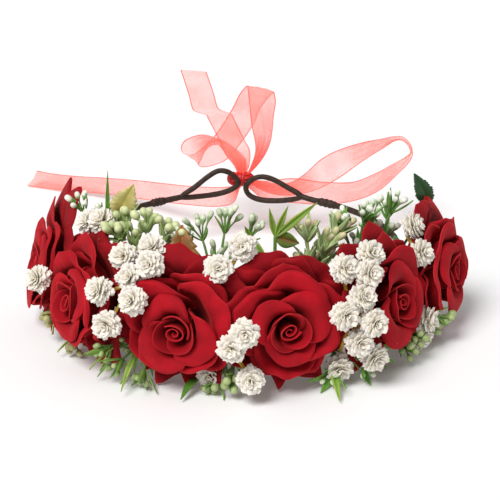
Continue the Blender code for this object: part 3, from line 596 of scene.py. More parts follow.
def petal(basket, rng, length, angle, lean, profile, wrap, roll, wave, half_fan, tuck, point, shade=0.0,
          droop=0.0):
    """One petal as a fan-shaped sheet laid on a cup profile, with its edge rolled outward.

    Lengths are in millimetres in the rose's own frame, whose Z points out of the flower. The tone of a point
    is (painted highlight on the rolled rim, painted shade deep in the cup and on rows standing in shade,
    nothing).
    """
    columns, rows, roll_rows = 37, 13, 6
    read = profile_reader(profile)
    fan = math.radians(half_fan)
    lane = np.linspace(-1, 1, columns)
    spread = fan * np.sign(lane) * np.abs(lane) ** 1.35
    edge = 0.74 + 0.26 * np.maximum(np.cos(spread * (math.pi / 2) / fan), 0) ** 0.8 * (1 - point)
    edge = edge + point * np.exp(-np.abs(spread) / 0.17)
    edge = edge * (1 + 0.025 * np.sin(3 * spread + rng.uniform(0, 6))
                   + 0.012 * np.sin(9 * spread + rng.uniform(0, 6)))
    t = np.linspace(0.05, 1.0, rows)[:, None]
    reach = t * edge[None] * length
    along = reach * np.cos(spread)[None]
    sideways = reach * np.sin(spread)[None] / length
    ripple_start, ripple_count = rng.uniform(0, 6), rng.uniform(5, 8)

    def on_cup(along, sideways):
        radius, height = read(along)
        phi = math.radians(angle) + sideways * wrap
        share = np.clip(along / length, 0, 1.1)
        ripple = wave * share ** 2 * (np.sin(sideways * ripple_count + ripple_start)
                                      + 0.4 * np.sin(sideways * 2.3 * ripple_count + 3 * ripple_start))
        radius = radius + tuck * sideways + ripple + lean * share ** 2
        height = height - 0.6 * ripple - 0.25 * lean * share ** 3 - droop * share ** 3
        return np.stack([radius * np.cos(phi), radius * np.sin(phi), height], -1)

    body = on_cup(along, sideways)
    back = on_cup(along * 0.97, sideways * 0.97)
    ahead = unit(body[-1] - back[-1])
    across = unit(np.gradient(body[-1], axis=0))
    across[1:-1] = unit(across[:-2] + across[1:-1] + across[2:])
    normal = unit(np.cross(across, ahead))
    slope_r, slope_h = (after - before for after, before in zip(read(along[-1]), read(along[-1] - 0.5)))
    phi = math.radians(angle) + sideways[-1] * wrap
    slope = np.stack([slope_h * np.cos(phi), slope_h * np.sin(phi), -slope_r], -1)
    normal = normal * np.sign(np.sum(normal * slope, -1, keepdims=True) + 1e-9)
    tip = point * 5 * np.exp(-(np.abs(spread) / 0.2) ** 2)
    uneven = 1 + 0.38 * np.sin(2.6 * spread + rng.uniform(0, 6))
    curl = math.radians(roll[1]) * (1 - 0.5 * np.clip(tip, 0, 1)) * uneven
    rolled = []
    for k in range(1, roll_rows + 1):
        theta = (curl * k / roll_rows)[:, None]
        rolled.append(body[-1] + roll[0] * (np.sin(theta) * ahead + (1 - np.cos(theta)) * normal))
    sheet = np.concatenate([body, np.array(rolled)])
    total = rows + roll_rows
    # Painted highlight on the last rows of the rolled rim, and painted shade that grows towards the foot of
    # the petal.
    rim_highlight = np.zeros((total, columns))
    rim_highlight[-1] = 0.7
    rim_highlight[-2] = 0.2
    depth = np.concatenate([np.clip(1.32 - 1.38 * t, 0, 1) ** 1.1, np.zeros((roll_rows, 1))])
    depth = np.broadcast_to(np.clip(depth + shade, 0, 1), (total, columns))
    tones = np.stack([rim_highlight, depth, np.zeros_like(depth)], -1).reshape(-1, 3)
    basket.add(sheet.reshape(-1, 3), grid_faces(total, columns), tones)


def bud_spiral(basket, rng):
    """The rolled heart of the rose, one sheet wound into a loose oval spiral."""
    columns, rows, roll_rows = 96, 9, 4
    turns = 1.9
    theta = np.linspace(0, turns * 2 * math.pi, columns)
    share = theta / theta[-1]
    top_radius = 0.7 + 5.0 * share
    top = 33.6 + 0.7 * share + 0.6 * np.sin(theta * 1.4 + rng.uniform(0, 6))
    squeeze, turned = rng.uniform(0.70, 0.85), rng.uniform(0, math.pi)

    def wound(radius, height):
        x, y = radius * np.cos(theta), radius * np.sin(theta) * squeeze
        across = x * math.cos(turned) - y * math.sin(turned)
        along = x * math.sin(turned) + y * math.cos(turned)
        return np.stack([across, along, height + np.zeros(columns)], -1)

    sheet, tone = [], []
    for row in range(rows):
        t = row / (rows - 1)
        sheet.append(wound(top_radius * (0.6 + 0.4 * t ** 0.7), WELL_HEIGHT + (top - WELL_HEIGHT) * t))
        # Painted shade, deepest at the foot of the spiral.
        tone.append(np.tile((0.0, np.clip(1.3 - 1.3 * t, 0, 1), 0.0), (columns, 1)))
    small = 0.35 + 0.4 * share
    for k in range(1, roll_rows + 1):
        bend_angle = math.radians(85) * k / roll_rows
        rolled = top_radius + small * (1 - math.cos(bend_angle))
        sheet.append(wound(rolled, top + small * math.sin(bend_angle)))
        # Painted highlight on the last rows of the rolled rim.
        edge = 0.7 if k == roll_rows else 0.2 if k == roll_rows - 1 else 0.0
        tone.append(np.tile((edge, 0.0, 0.0), (columns, 1)))
    basket.add(sheet, grid_faces(rows + roll_rows, columns), np.vstack(tone))


def rose_frame(azimuth, yaw, tilt):
    base = polar(azimuth, RING_RADIUS, RING_HEIGHT)
    facing = polar(azimuth + yaw, math.cos(math.radians(tilt)), math.sin(math.radians(tilt)))
    return Matrix.Translation(base) @ facing.to_track_quat("Z", "Y").to_matrix().to_4x4()


def settle(points):
    """Keeps points above the table, bending them gently as they near it."""
    low = points[:, 2] < FLOOR_CLEARANCE + FLOOR_BEND
    over = (points[low, 2] - FLOOR_CLEARANCE) / FLOOR_BEND
    eased = np.where(over > 0, (over ** 2 + 1) / 2, 0.5 * np.exp(over * 2))
    points[low, 2] = FLOOR_CLEARANCE + FLOOR_BEND * eased
    return points


def carried(basket, matrix):
    """The basket's points, drawn in millimetres in a flower's frame, set in their place on the crown."""
    return np.vstack(basket.points) * MM @ np.array(matrix.to_3x3()).T + np.array(matrix.translation)


def cloth_wall(piece, thickness):
    wall = piece.modifiers.new("Cloth thickness", "SOLIDIFY")
    wall.thickness = thickness
    wall.offset = 0.0


def heart_well(basket):
    """A disc in full painted shade that closes the heart behind the rolled bud."""
    turn = np.linspace(0, 2 * math.pi, 24, endpoint=False)
    rim = np.stack([WELL_RADIUS * np.cos(turn), WELL_RADIUS * np.sin(turn), np.full(24, WELL_HEIGHT)], -1)
    middle = [[0, 0, WELL_HEIGHT - 1.0]]
    basket.add(np.vstack([rim, middle]), [[k, (k + 1) % 24, 24] for k in range(24)], (0, 1, 0))


def make_rose(name, azimuth, yaw, tilt, depth, outermost, seed, thickness):
    rng = np.random.default_rng(seed)
    matrix = rose_frame(azimuth, yaw, tilt)
    start = rng.uniform(0, 360)
    baskets = {"outer": Basket(), "inner": Basket(), "heart": Basket()}
    for angle, length, droop, point in outermost:
        petal(baskets["outer"], rng, length, angle + rng.uniform(-3, 3), tuck=rng.choice((-3.0, 3.0)),
              lean=rng.uniform(-0.8, 1.0), point=point, droop=droop, **OUTER_LIE)
    for part, lie, count, first, stray, lengths, leans, shorter in PETAL_ROWS:
        for k in range(count):
            length = rng.uniform(*lengths)
            angle = start + first + 360 / count * k + rng.uniform(-stray, stray)
            length -= shorter * max(0.0, -math.sin(math.radians(angle)))
            petal(baskets[part], rng, length, angle, lean=rng.uniform(*leans), **lie)
    bud_spiral(baskets["heart"], rng)
    heart_well(baskets["heart"])
    for part, node, slot, wall in (("outer", name + "_outer_petals", "velvet", thickness),
                                   ("inner", name + "_inner_petals", "velvet", thickness),
                                   ("heart", name + "_bud", "deep_velvet", thickness * 0.9)):
        basket = baskets[part]
        for points in basket.points:
            above = points[:, 2] - FIXED_DEPTH
            points[:, 2] = FIXED_DEPTH + np.where(above > 0, above * depth, above)
        basket.points = [settle(carried(basket, matrix))]
        piece = place_object(name + "_velvet_" + part, basket.mesh(name + "_velvet_" + part), MATERIALS[slot])
        cloth_wall(piece, wall)
        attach(piece, "garland")
        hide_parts(node)
    make_calyx(name, matrix)


def make_calyx(name, matrix):
    """Green cup with five pointed sepals behind the petals, on a short taped stem."""
    basket = Basket()
    rows, columns = 18, 20
    profile = through([(r, h, 0) for r, h in CALYX_PROFILE], rows)
    turn = np.linspace(0, 2 * math.pi, columns, endpoint=False)
    ring = np.stack([profile[:, 0, None] * np.cos(turn), profile[:, 0, None] * np.sin(turn),
                     np.broadcast_to(profile[:, 1, None], (rows, columns))], -1)
    ends = [list(range(columns))[::-1], [(rows - 1) * columns + k for k in range(columns)]]
    basket.add(ring, grid_faces(rows, columns, closed=True) + ends, CALYX_GREEN)
    for k in range(5):
        angle = 2 * math.pi * k / 5 + 0.3
        t = np.linspace(0, 1, 9)
        out = 4.2 + 9.5 * t
        up = 8.8 + 3.2 * t - 2.6 * t ** 2
        half = 2.4 * np.sin(np.pi * (0.18 + 0.82 * t)) ** 0.9 * (1 - 0.15 * t)
        leaf_into(basket, np.stack([out * math.cos(angle), out * math.sin(angle), up], -1), half,
                  np.array([-math.sin(angle), math.cos(angle), 0]), 0.45, SEPAL_MIDDLE, SEPAL_EDGE)
    basket.points = [carried(basket, matrix)]
    mesh = basket.mesh(name + "_green_cup")
    face_outward(mesh)
    made = place_object(name + "_green_cup", mesh, MATERIALS["calyx"])
    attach(made, "garland")
    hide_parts(name + "_calyx")


# ---------------------------------------------------------------- leaves, buds and stems

def leaf_into(basket, spine, half_width, across, thickness, tone_mid, tone_edge, teeth=0):
    """A leaf blade along its spine: folded at the midrib, lifted at the margin, optionally toothed."""
    spine = np.asarray(spine, float)
    rows = len(spine)
    half_width = np.asarray(half_width, float).copy()
    across = unit(np.broadcast_to(np.asarray(across, float), spine.shape))
    ahead = unit(np.gradient(spine, axis=0))
    across = unit(across - ahead * np.sum(across * ahead, -1, keepdims=True))
    up = np.cross(across, ahead)
    if teeth:
        saw = np.linspace(0, teeth, rows) % 1.0
        half_width = half_width * (1.1 - 0.3 * saw)
    lanes = np.array([-1, -0.55, -0.12, 0, 0.12, 0.55, 1.0])
    lift = 0.25 * np.abs(lanes) ** 1.3
    groove = np.where(lanes == 0, -0.35 * thickness, 0)
    top = (spine[:, None] + lanes[None, :, None] * half_width[:, None, None] * across[:, None]
           + (lift[None, :] * half_width[:, None] + groove[None] + thickness / 2)[..., None] * up[:, None])
    bottom = top - thickness * up[:, None]
    faces = grid_faces(rows, 7)
    count = rows * 7
    faces += [[b + count for b in face[::-1]] for face in grid_faces(rows, 7)]
    ring = ([r * 7 for r in range(rows)] + [(rows - 1) * 7 + c for c in range(1, 7)]
            + [r * 7 + 6 for r in range(rows - 2, -1, -1)] + list(range(5, 0, -1)))
    for first, second in zip(ring, ring[1:] + ring[:1]):
        faces.append([second, first, first + count, second + count])
    blend = np.abs(lanes)[None, :, None] * np.ones((rows, 1, 1))
    tones = np.asarray(tone_mid) * (1 - blend) + np.asarray(tone_edge) * blend
    tones = np.where((lanes == 0)[None, :, None], tones * 1.35, tones)
    # The underside is painted a fifth darker, as shade.
    basket.add(np.concatenate([top.reshape(-1, 3), bottom.reshape(-1, 3)]), faces,
               np.concatenate([tones.reshape(-1, 3), tones.reshape(-1, 3) * 0.8]))


def leaf_between(basket, root, tip, width, facing, tone_mid, tone_edge, bow, rows, teeth=0):
    root, tip = np.array(root, float), np.array(tip, float)
    t = np.linspace(0, 1, rows)
    run = tip - root
    facing = np.array(facing, float)
    bowed = (bow * np.linalg.norm(run) * 4 * t * (1 - t))[:, None]
    spine = root + run * t[:, None] + unit(facing[None])[0] * bowed
    half = width / 2 * np.sin(np.pi * np.clip(t, 0.02, 0.985) ** 0.8) + width * 0.02
    across = np.cross(run, facing)
    leaf_into(basket, spine, half, across, width * 0.09 + 0.25 * MM, tone_mid, tone_edge, teeth)


def bud_into(basket, place, direction, length, radius, tone_base, tone_tip):
    """A closed bud: a pointed oval with a narrow collar where it meets its twig."""
    direction = unit(np.array(direction, float)[None])[0]
    side = unit(np.cross(direction, [0.3, 0.5, 0.8])[None])[0]
    third = np.cross(direction, side)
    t = np.array([0, 0.06, 0.16, 0.3, 0.48, 0.66, 0.82, 0.93, 1.0])
    swell = np.array([0.22, 0.36, 0.72, 0.95, 1.0, 0.86, 0.55, 0.26, 0.03]) * radius
    turn = np.linspace(0, 2 * math.pi, 9, endpoint=False)[None, :, None]
    ring = (np.array(place)[None, None] + (t * length)[:, None, None] * direction
            + swell[:, None, None] * (np.cos(turn) * side + np.sin(turn) * third))
    faces = grid_faces(9, 9, closed=True) + [list(range(9))[::-1], [72 + k for k in range(9)]]
    blend = np.clip((t - 0.25) / 0.6, 0, 1)[:, None, None]
    tones = np.asarray(tone_base) * (1 - blend) + np.asarray(tone_tip) * blend
    basket.add(ring.reshape(-1, 3), faces, np.broadcast_to(tones, (9, 9, 3)).reshape(-1, 3))


def bend(root, middle, tip, count=14):
    root, middle, tip = (np.array(tuple(place), float) for place in (root, middle, tip))
    t = np.linspace(0, 1, count)[:, None]
    return root * (1 - t) ** 2 + middle * 2 * t * (1 - t) + tip * t ** 2


# Stalk, bud, bud tip and leaf colours of the sprigs.
SAGE = ((0.34, 0.44, 0.16), (0.50, 0.60, 0.28), (0.66, 0.72, 0.42), (0.36, 0.48, 0.20))
PALE = ((0.44, 0.50, 0.22), (0.60, 0.58, 0.32), (0.70, 0.64, 0.40), (0.42, 0.54, 0.27))
FROSTED = ((0.15, 0.32, 0.07), (0.34, 0.48, 0.20), (0.88, 0.92, 0.84), (0.13, 0.30, 0.05))
GREEN = ((0.14, 0.29, 0.06), (0.30, 0.45, 0.20), (0.70, 0.78, 0.62), (0.13, 0.31, 0.045))
DUSTY = ((0.16, 0.28, 0.07), (0.25, 0.36, 0.13), (0.36, 0.46, 0.20), (0.17, 0.32, 0.06))
OLIVE = ((0.36, 0.38, 0.12), (0.38, 0.36, 0.15), (0.44, 0.42, 0.20), (0.40, 0.46, 0.16))
LEAF_GREEN = (0.10, 0.26, 0.03)
LEAF_DARK = (0.02, 0.07, 0.02)
LEAF_BROWN = (0.18, 0.10, 0.025)
BLADE = ((0.11, 0.26, 0.02), (0.38, 0.50, 0.08))
LEAF_OLIVE = (0.50, 0.42, 0.12)
LEAF_RUST = (0.33, 0.10, 0.02)
YELLOW_STEM = (0.58, 0.36, 0.02)
# Usual sizes of a sprig's parts, as (bud length, head radius, leaf length, leaf width) in millimetres.
SMALL, PLUMP = (11, 1.45, 11, 2.2), (12.5, 2.1, 13, 3.0)


def club_into(basket, foot, tip, sag, stalk, head, tones):
    """A bud on its stalk: slender at the foot and swelling to a blunt round head."""
    path = bend(foot, (np.array(foot) + np.array(tip)) / 2 + sag, tip, 11)
    t = np.linspace(0, 1, 11)
    swell = np.clip((t - 0.56) / 0.32, 0, 1)
    swell = swell * swell * (3 - 2 * swell)
    blend = np.clip((t - 0.5) / 0.35, 0, 1)[:, None]
    colour = np.asarray(tones[0]) * (1 - blend) + np.asarray(tones[1]) * blend
    colour[-2:] = tones[2]
    tube(basket, path, stalk + (head - stalk) * swell, colour)


def fan_into(basket, place, heading, buds, leaves, size, tones, rng, spread):
    """Club buds and narrow leaves spreading from one point of a stem. Size is (bud length, head radius,
    leaf length, leaf width) in millimetres."""
    heading = unit(np.array(heading, float)[None])[0]
    side = unit(np.cross(heading, [0.21, 0.35, 0.91])[None])[0]
    third = np.cross(heading, side)
    turn = rng.uniform(0, 6)
    for k in range(buds + leaves):
        turn += 2.4
        bud = k < buds
        open_by = spread * (rng.uniform(0.25, 1.0) if bud else rng.uniform(0.6, 1.35))
        way = unit((heading + open_by * (math.cos(turn) * side + math.sin(turn) * third))[None])[0]
        if bud:
            reach = size[0] * rng.uniform(0.75, 1.15) * MM
            club_into(basket, place, place + way * reach, heading * reach * 0.12, 0.42 * MM,
                      size[1] * rng.uniform(0.85, 1.15) * MM, tones)
        else:
            facing = np.cross(np.cross(way, heading), way) + 0.01 * side
            tip = place + way * size[2] * rng.uniform(0.7, 1.15) * MM
            leaf_between(basket, place, tip, size[3] * MM, facing, tones[3], toned(tones[3], 1.35),
                         bow=rng.uniform(-0.14, 0.05), rows=11)


def finish_greenery(name, node, basket):
    basket.points = [settle(np.vstack(basket.points))]
    mesh = basket.mesh(name)
    face_outward(mesh)
    made = place_object(name, mesh, MATERIALS["foliage"])
    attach(made, "garland")
    if node:
        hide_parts(node)


def sprig(name, node, tones, root, stems, buds, leaves, size, seed, spread=0.75, long_leaves=()):
    """Stems from one root as (middle, tip), each with a fan of buds and leaves at its tip and a smaller one
    lower down, and any long leaves as (foot, tip, width). Every place is read by spot.
    """
    rng = np.random.default_rng(seed)
    basket = Basket()
    for middle, tip in stems:
        path = bend(spot(*root), spot(*middle), spot(*tip))
        tube(basket, path, np.linspace(0.95, 0.6, len(path)) * MM, tones[0])
        ahead = np.gradient(path, axis=0)
        fan_into(basket, path[-1], ahead[-1], buds, leaves, size, tones, rng, spread)
        step = len(path) // 2
        fan_into(basket, path[step], ahead[step], max(buds // 2, 1), max(leaves - 1, 1), size, tones, rng,
                 spread * 1.3)
    for foot, tip, width in long_leaves:
        leaf_between(basket, spot(*foot), spot(*tip), width * MM, (0, 0.2, 1), tones[3], BLADE[1], bow=0.06,
                     rows=17)
    finish_greenery(name, node, basket)


def blade_tuft(name, node, stalk_tone, root, foot, blades):
    """Long blades from the end of one short stem, each as (foot, tip, width, middle colour, edge colour)."""
    basket = Basket()
    root, foot = spot(*root), spot(*foot)
    tube(basket, bend(root, (root + foot) / 2, foot, 10), 0.9 * MM, stalk_tone)
    for start, tip, width, tone_mid, tone_edge in blades:
        start, tip = spot(*start), spot(*tip)
        if (start - foot).length > MM:
            tube(basket, bend(root, (root + foot) / 2, start, 10), 0.6 * MM, stalk_tone, sides=7)
        sideways = 250 * (tip[2] - start[2])
        leaf_between(basket, start, tip, width * MM, (sideways, -20, 6), tone_mid, tone_edge, bow=-0.05,
                     rows=15)
    finish_greenery(name, node, basket)


def broad_leaf(name, node, root, foot, tip, width, facing, tone_mid, tone_edge, teeth):
    """One leaf on its own stalk, with this many teeth along each edge."""
    basket = Basket()
    root, foot, tip = spot(*root), spot(*foot), spot(*tip)
    stalk = bend(root, foot, foot * 0.75 + tip * 0.25, 8)
    tube(basket, stalk, np.linspace(0.8, 0.5, 8) * MM, tone_mid, sides=7)
    leaf_between(basket, foot, tip, width * MM, facing, tone_mid, tone_edge, bow=0.1, rows=31, teeth=teeth)
    finish_greenery(name, node, basket)


def greenery_above():
    sprig("sage_berries", "sage_berries_left", SAGE, (-34, -1.5, 2.6), (
        ((-37, -6, 22), (-43, -7, 38)), ((-33, -2, 22), (-33, -6, 39)), ((-30, -4, 22), (-27, -9, 34)),
        ((-38, -6, 21), (-40, 1, 34)), ((-35, -2, 20), (-36.5, -4, 31))), 6, 7, PLUMP, 60, 0.85)
    broad_leaf("olive_leaf", "olive_leaf_left", (-50, -1.5, 2.6), (-50, -9, 41),
               (-44.5, -15, 60), 13, (0, -1, 0.2), LEAF_OLIVE, (0.62, 0.55, 0.25), 9)
    sprig("white_tipped_left", "white_tipped_sprig_left", FROSTED, (-66, -1.5, 2.6), (
        ((-64, -6, 22), (-64, 0, 38)), ((-62, -6, 20), (-58, -6, 34))), 5, 3, SMALL, 61, 0.7)
    broad_leaf("spear_leaf", "spear_leaf_left", (-54, -1.5, 2.6), (-56, -9, 28),
               (-57, -10.5, 64), 2.4, (0, -1, 0.2), LEAF_GREEN, LEAF_GREEN, 0)
    broad_leaf("rust_leaf", "rust_leaf_left", (-19, -1, 2.8), (-18, -2, 20), (-20, -9, 46), 17,
               (0, -1, 0.3), LEAF_RUST, (0.26, 0.14, 0.025), 7)
    sprig("green_centre", "green_sprig_centre", GREEN, (-8, -1.5, 2.6), (
        ((-9, -10, 22), (-13, -13, 37)), ((-7, -9, 22), (-5, -14, 41)), ((-4, -6, 22), (3, -12, 37)),
        ((-12, -5, 18), (-18, -10, 30))), 6, 2, (14, 1.55, 11, 2.2), 62)
    high, low = (13.5, -10, 40), (4.8, -10.7, 40.5)
    blade_tuft("spiky_centre", "spiky_sprig_centre", LEAF_GREEN, (12, -1.5, 2.6), high, (
        (high, (27, -3, 59), 4.0, *BLADE), (high, (18, -9, 57), 3.2, *BLADE),
        (high, (11.5, -11, 56), 3.0, *BLADE), (low, (10, -3.6, 29), 3.6, LEAF_GREEN, BLADE[1]),
        (low, (2.5, -10, 47), 2.4, LEAF_GREEN, BLADE[1]),
        (high, (22, -8, 36), 8.0, LEAF_BROWN, LEAF_GREEN)))
    sprig("pale_right", "pale_sprig_right", PALE, (26, -1.5, 2.6), (
        ((27, -9, 20), (26, -10, 35)), ((30, -9, 20), (36, -8, 34)), ((30, -9, 18), (31, -6, 28))),
        4, 8, (14, 1.6, 15, 3.6), 64, 0.65)
    sprig("green_right", "green_sprig_right", FROSTED, (48, -1.5, 2.6), (
        ((46, -9, 22), (42, -9, 37)), ((48, -8, 22), (48, -4, 40)), ((50, -8, 18), (52, -6, 33))),
        5, 4, (12, 1.5, 14, 2.8), 65, 0.6)
    sprig("white_tipped_right", "white_tipped_sprig_right", FROSTED, (62, -1.5, 2.6), (
        ((60, -10, 22), (58, -8, 36)), ((62, -8, 20), (65, -2, 37)), ((64, -6, 18), (69, -6, 31))),
        5, 4, (12, 1.6, 13, 2.8), 66, 0.6)
    broad_leaf("dark_leaf", "dark_leaf_right", (84, -1.5, 2.6), (85, 14, 31), (84, 5, 50), 10,
               (0.2, -1, 0.2), LEAF_DARK, LEAF_DARK, 13)


def greenery_below():
    sprig("olive_buds_low", "olive_buds_left_low", OLIVE, (-58, 2.2, -2.2), (
        ((-59, 13, -9), (-59.5, 21, -13)), ((-55, 12, -14), (-51, 20, -22))), 4, 3, (9, 1.9, 11, 2.6), 67)
    sprig("green_left_low", "green_sprig_left_low", DUSTY, (-27, 2.2, -2.2), (
        ((-27, 17, -12), (-29, 28, -17)), ((-25, 14, -14), (-24, 25, -22)), ((-30, 16, -8), (-33, 27, -12))),
        4, 4, (9, 1.5, 17, 2.4), 68,
        long_leaves=(((-27, 22, -15), (-25.5, 44, -27), 3.0), ((-31, 22, -11), (-35, 40, -22), 2.6)))
    broad_leaf("pointed_low", "pointed_leaf_low", (-9, 2.2, -2.2), (-10, 18, -26),
               (-12.5, 39, -29.4), 4.6, (0, 0.2, 1), LEAF_GREEN, LEAF_GREEN, 0)
    sprig("green_centre_low", "green_sprig_centre_low", DUSTY, (-1, 1.6, -2.8), (
        ((-1, 13, -18), (-1, 26, -20)), ((-3, 12, -20), (-5, 22, -25))), 4, 3, (8, 2.0, 14, 2.2), 69)
    sprig("long_leaf_low", "long_leaf_sprig_right_low", GREEN, (32, 1.6, -2.8), (
        ((34, 15, -20), (33, 27, -23)), ((35, 13, -14), (37, 24, -17)), ((29, 12, -20), (24.5, 24, -24))),
        3, 4, (8, 1.5, 17, 3.4), 70, long_leaves=(((24.8, 23, -23), (21.6, 47, -29.6), 3.6),))
    sprig("budded_right_low", "budded_sprig_right_low", DUSTY, (54, 1.6, -2.8), (
        ((53.5, 17, -14), (50, 28, -16)), ((56, 13, -14), (58, 24, -18)), ((51, 16, -18), (47, 27, -21)),
        ((58, 18, -14), (60.5, 29, -14))), 4, 2, (9, 2.0, 10, 2.6), 71)


# ---------------------------------------------------------------- gypsophila by Geometry Nodes

def scatter_tree():
    """Sets one small shape on every point, turned and sized by the points' own attributes."""
    tree = bpy.data.node_groups.new("Scatter shape", "GeometryNodeTree")
    face = tree.interface
    face.new_socket("Geometry", in_out="INPUT", socket_type="NodeSocketGeometry")
    face.new_socket("Shape", in_out="INPUT", socket_type="NodeSocketObject")
    size = face.new_socket("Size", in_out="INPUT", socket_type="NodeSocketFloat")
    size.default_value = 1.0
    face.new_socket("Size Variation", in_out="INPUT", socket_type="NodeSocketFloat")
    face.new_socket("Seed", in_out="INPUT", socket_type="NodeSocketInt")
    face.new_socket("Material", in_out="INPUT", socket_type="NodeSocketMaterial")
    face.new_socket("Geometry", in_out="OUTPUT", socket_type="NodeSocketGeometry")
    new = tree.nodes.new
    source, result = new("NodeGroupInput"), new("NodeGroupOutput")
    shape = new("GeometryNodeObjectInfo")
    turn = new("GeometryNodeInputNamedAttribute")
    turn.data_type = "FLOAT_VECTOR"
    turn.inputs["Name"].default_value = "turn"
    share = new("GeometryNodeInputNamedAttribute")
    share.data_type = "FLOAT"
    share.inputs["Name"].default_value = "share"
    vary = new("FunctionNodeRandomValue")
    vary.data_type = "FLOAT"
    low, high = new("ShaderNodeMath"), new("ShaderNodeMath")
    low.operation, high.operation = "SUBTRACT", "ADD"
    low.inputs[0].default_value = 1.0
    high.inputs[0].default_value = 1.0
    sized, total = new("ShaderNodeMath"), new("ShaderNodeMath")
    sized.operation = total.operation = "MULTIPLY"
    euler = new("FunctionNodeEulerToRotation")
    instance = new("GeometryNodeInstanceOnPoints")
    real = new("GeometryNodeRealizeInstances")
    paint = new("GeometryNodeSetMaterial")
    link = tree.links.new
    link(source.outputs["Shape"], shape.inputs["Object"])
    link(source.outputs["Size Variation"], low.inputs[1])
    link(source.outputs["Size Variation"], high.inputs[1])
    link(low.outputs[0], vary.inputs[2])
    link(high.outputs[0], vary.inputs[3])
    link(source.outputs["Seed"], vary.inputs["Seed"])
    link(vary.outputs[1], sized.inputs[0])
    link(source.outputs["Size"], sized.inputs[1])
    link(sized.outputs[0], total.inputs[0])
    link(share.outputs["Attribute"], total.inputs[1])
    link(turn.outputs["Attribute"], euler.inputs[0])
    link(source.outputs["Geometry"], instance.inputs["Points"])
    link(shape.outputs["Geometry"], instance.inputs["Instance"])
    link(euler.outputs[0], instance.inputs["Rotation"])
    link(total.outputs[0], instance.inputs["Scale"])
    link(instance.outputs["Instances"], real.inputs["Geometry"])
    link(real.outputs["Geometry"], paint.inputs["Geometry"])
    link(source.outputs["Material"], paint.inputs["Material"])
    link(paint.outputs["Geometry"], result.inputs["Geometry"])
    return tree


def scatter(name, places, turns, shares, shape_mesh, material, size, variation, seed):
    """The scattered shapes as one plain mesh."""
    cloud = bpy.data.meshes.new(name + "_points")
    cloud.from_pydata([tuple(place) for place in places], [], [])
    turned = cloud.attributes.new("turn", "FLOAT_VECTOR", "POINT")
    turned.data.foreach_set("vector", np.asarray(turns, float).ravel())
    shared = cloud.attributes.new("share", "FLOAT", "POINT")
    shared.data.foreach_set("value", np.asarray(shares, float))
    holder = bpy.data.objects.new(name + "_cloud", cloud)
    shape = bpy.data.objects.new(name + "_shape", shape_mesh)
    for obj in (holder, shape):
        bpy.context.scene.collection.objects.link(obj)
    tree = bpy.data.node_groups.get("Scatter shape") or scatter_tree()
    nodes = holder.modifiers.new("Scatter", "NODES")
    nodes.node_group = tree
    values = {"Shape": shape, "Size": size, "Size Variation": variation, "Seed": seed, "Material": material}
    for item in tree.interface.items_tree:
        if item.in_out == "INPUT" and item.name in values:
            nodes[item.identifier] = values[item.name]
    bpy.context.view_layer.update()
    made = bpy.data.meshes.new_from_object(holder.evaluated_get(bpy.context.evaluated_depsgraph_get()))
    made.name = name
    bpy.data.objects.remove(holder)
    bpy.data.objects.remove(shape)
    return made


def floret_petal():
    """A short notched petal along Z, thin and closed, pale at the tip and greener at its foot."""
    basket = Basket()
    t = np.array([0.0, 0.5, 0.82, 1.0])
    half = np.array([0.07, 0.12, 0.205, 0.175])
    lanes = np.array([-1, -0.36, 0.36, 1.0])
    notch = np.array([-0.09, 0.035, -0.035, -0.05])
    front = []
    for along, wide in zip(t, half):
        rise = along + notch * (along ** 6)
        cup = 1.1 * (lanes * wide) ** 2 - 0.14 * along ** 2 + 0.02
        front.append(np.stack([lanes * wide, cup, rise], -1))
    front = np.array(front)
    back = front + np.array([0, -0.035, 0])
    faces = grid_faces(4, 4) + [[b + 16 for b in face[::-1]] for face in grid_faces(4, 4)]
    ring = [0, 4, 8, 12, 13, 14, 15, 11, 7, 3, 2, 1]
    faces += [[b, a, a + 16, b + 16] for a, b in zip(ring, ring[1:] + ring[:1])]
    blend = np.clip(t * 1.7 - 0.15, 0, 1)[:, None, None] * np.ones((1, 4, 1))
    tone = np.array((0.80, 0.73, 0.46)) * (1 - blend) + np.array((0.95, 0.89, 0.79)) * blend
    basket.add(np.concatenate([front.reshape(-1, 3), back.reshape(-1, 3)]), faces,
               np.concatenate([tone.reshape(-1, 3)] * 2))
    mesh = basket.mesh("floret_petal")
    face_outward(mesh)
    return mesh


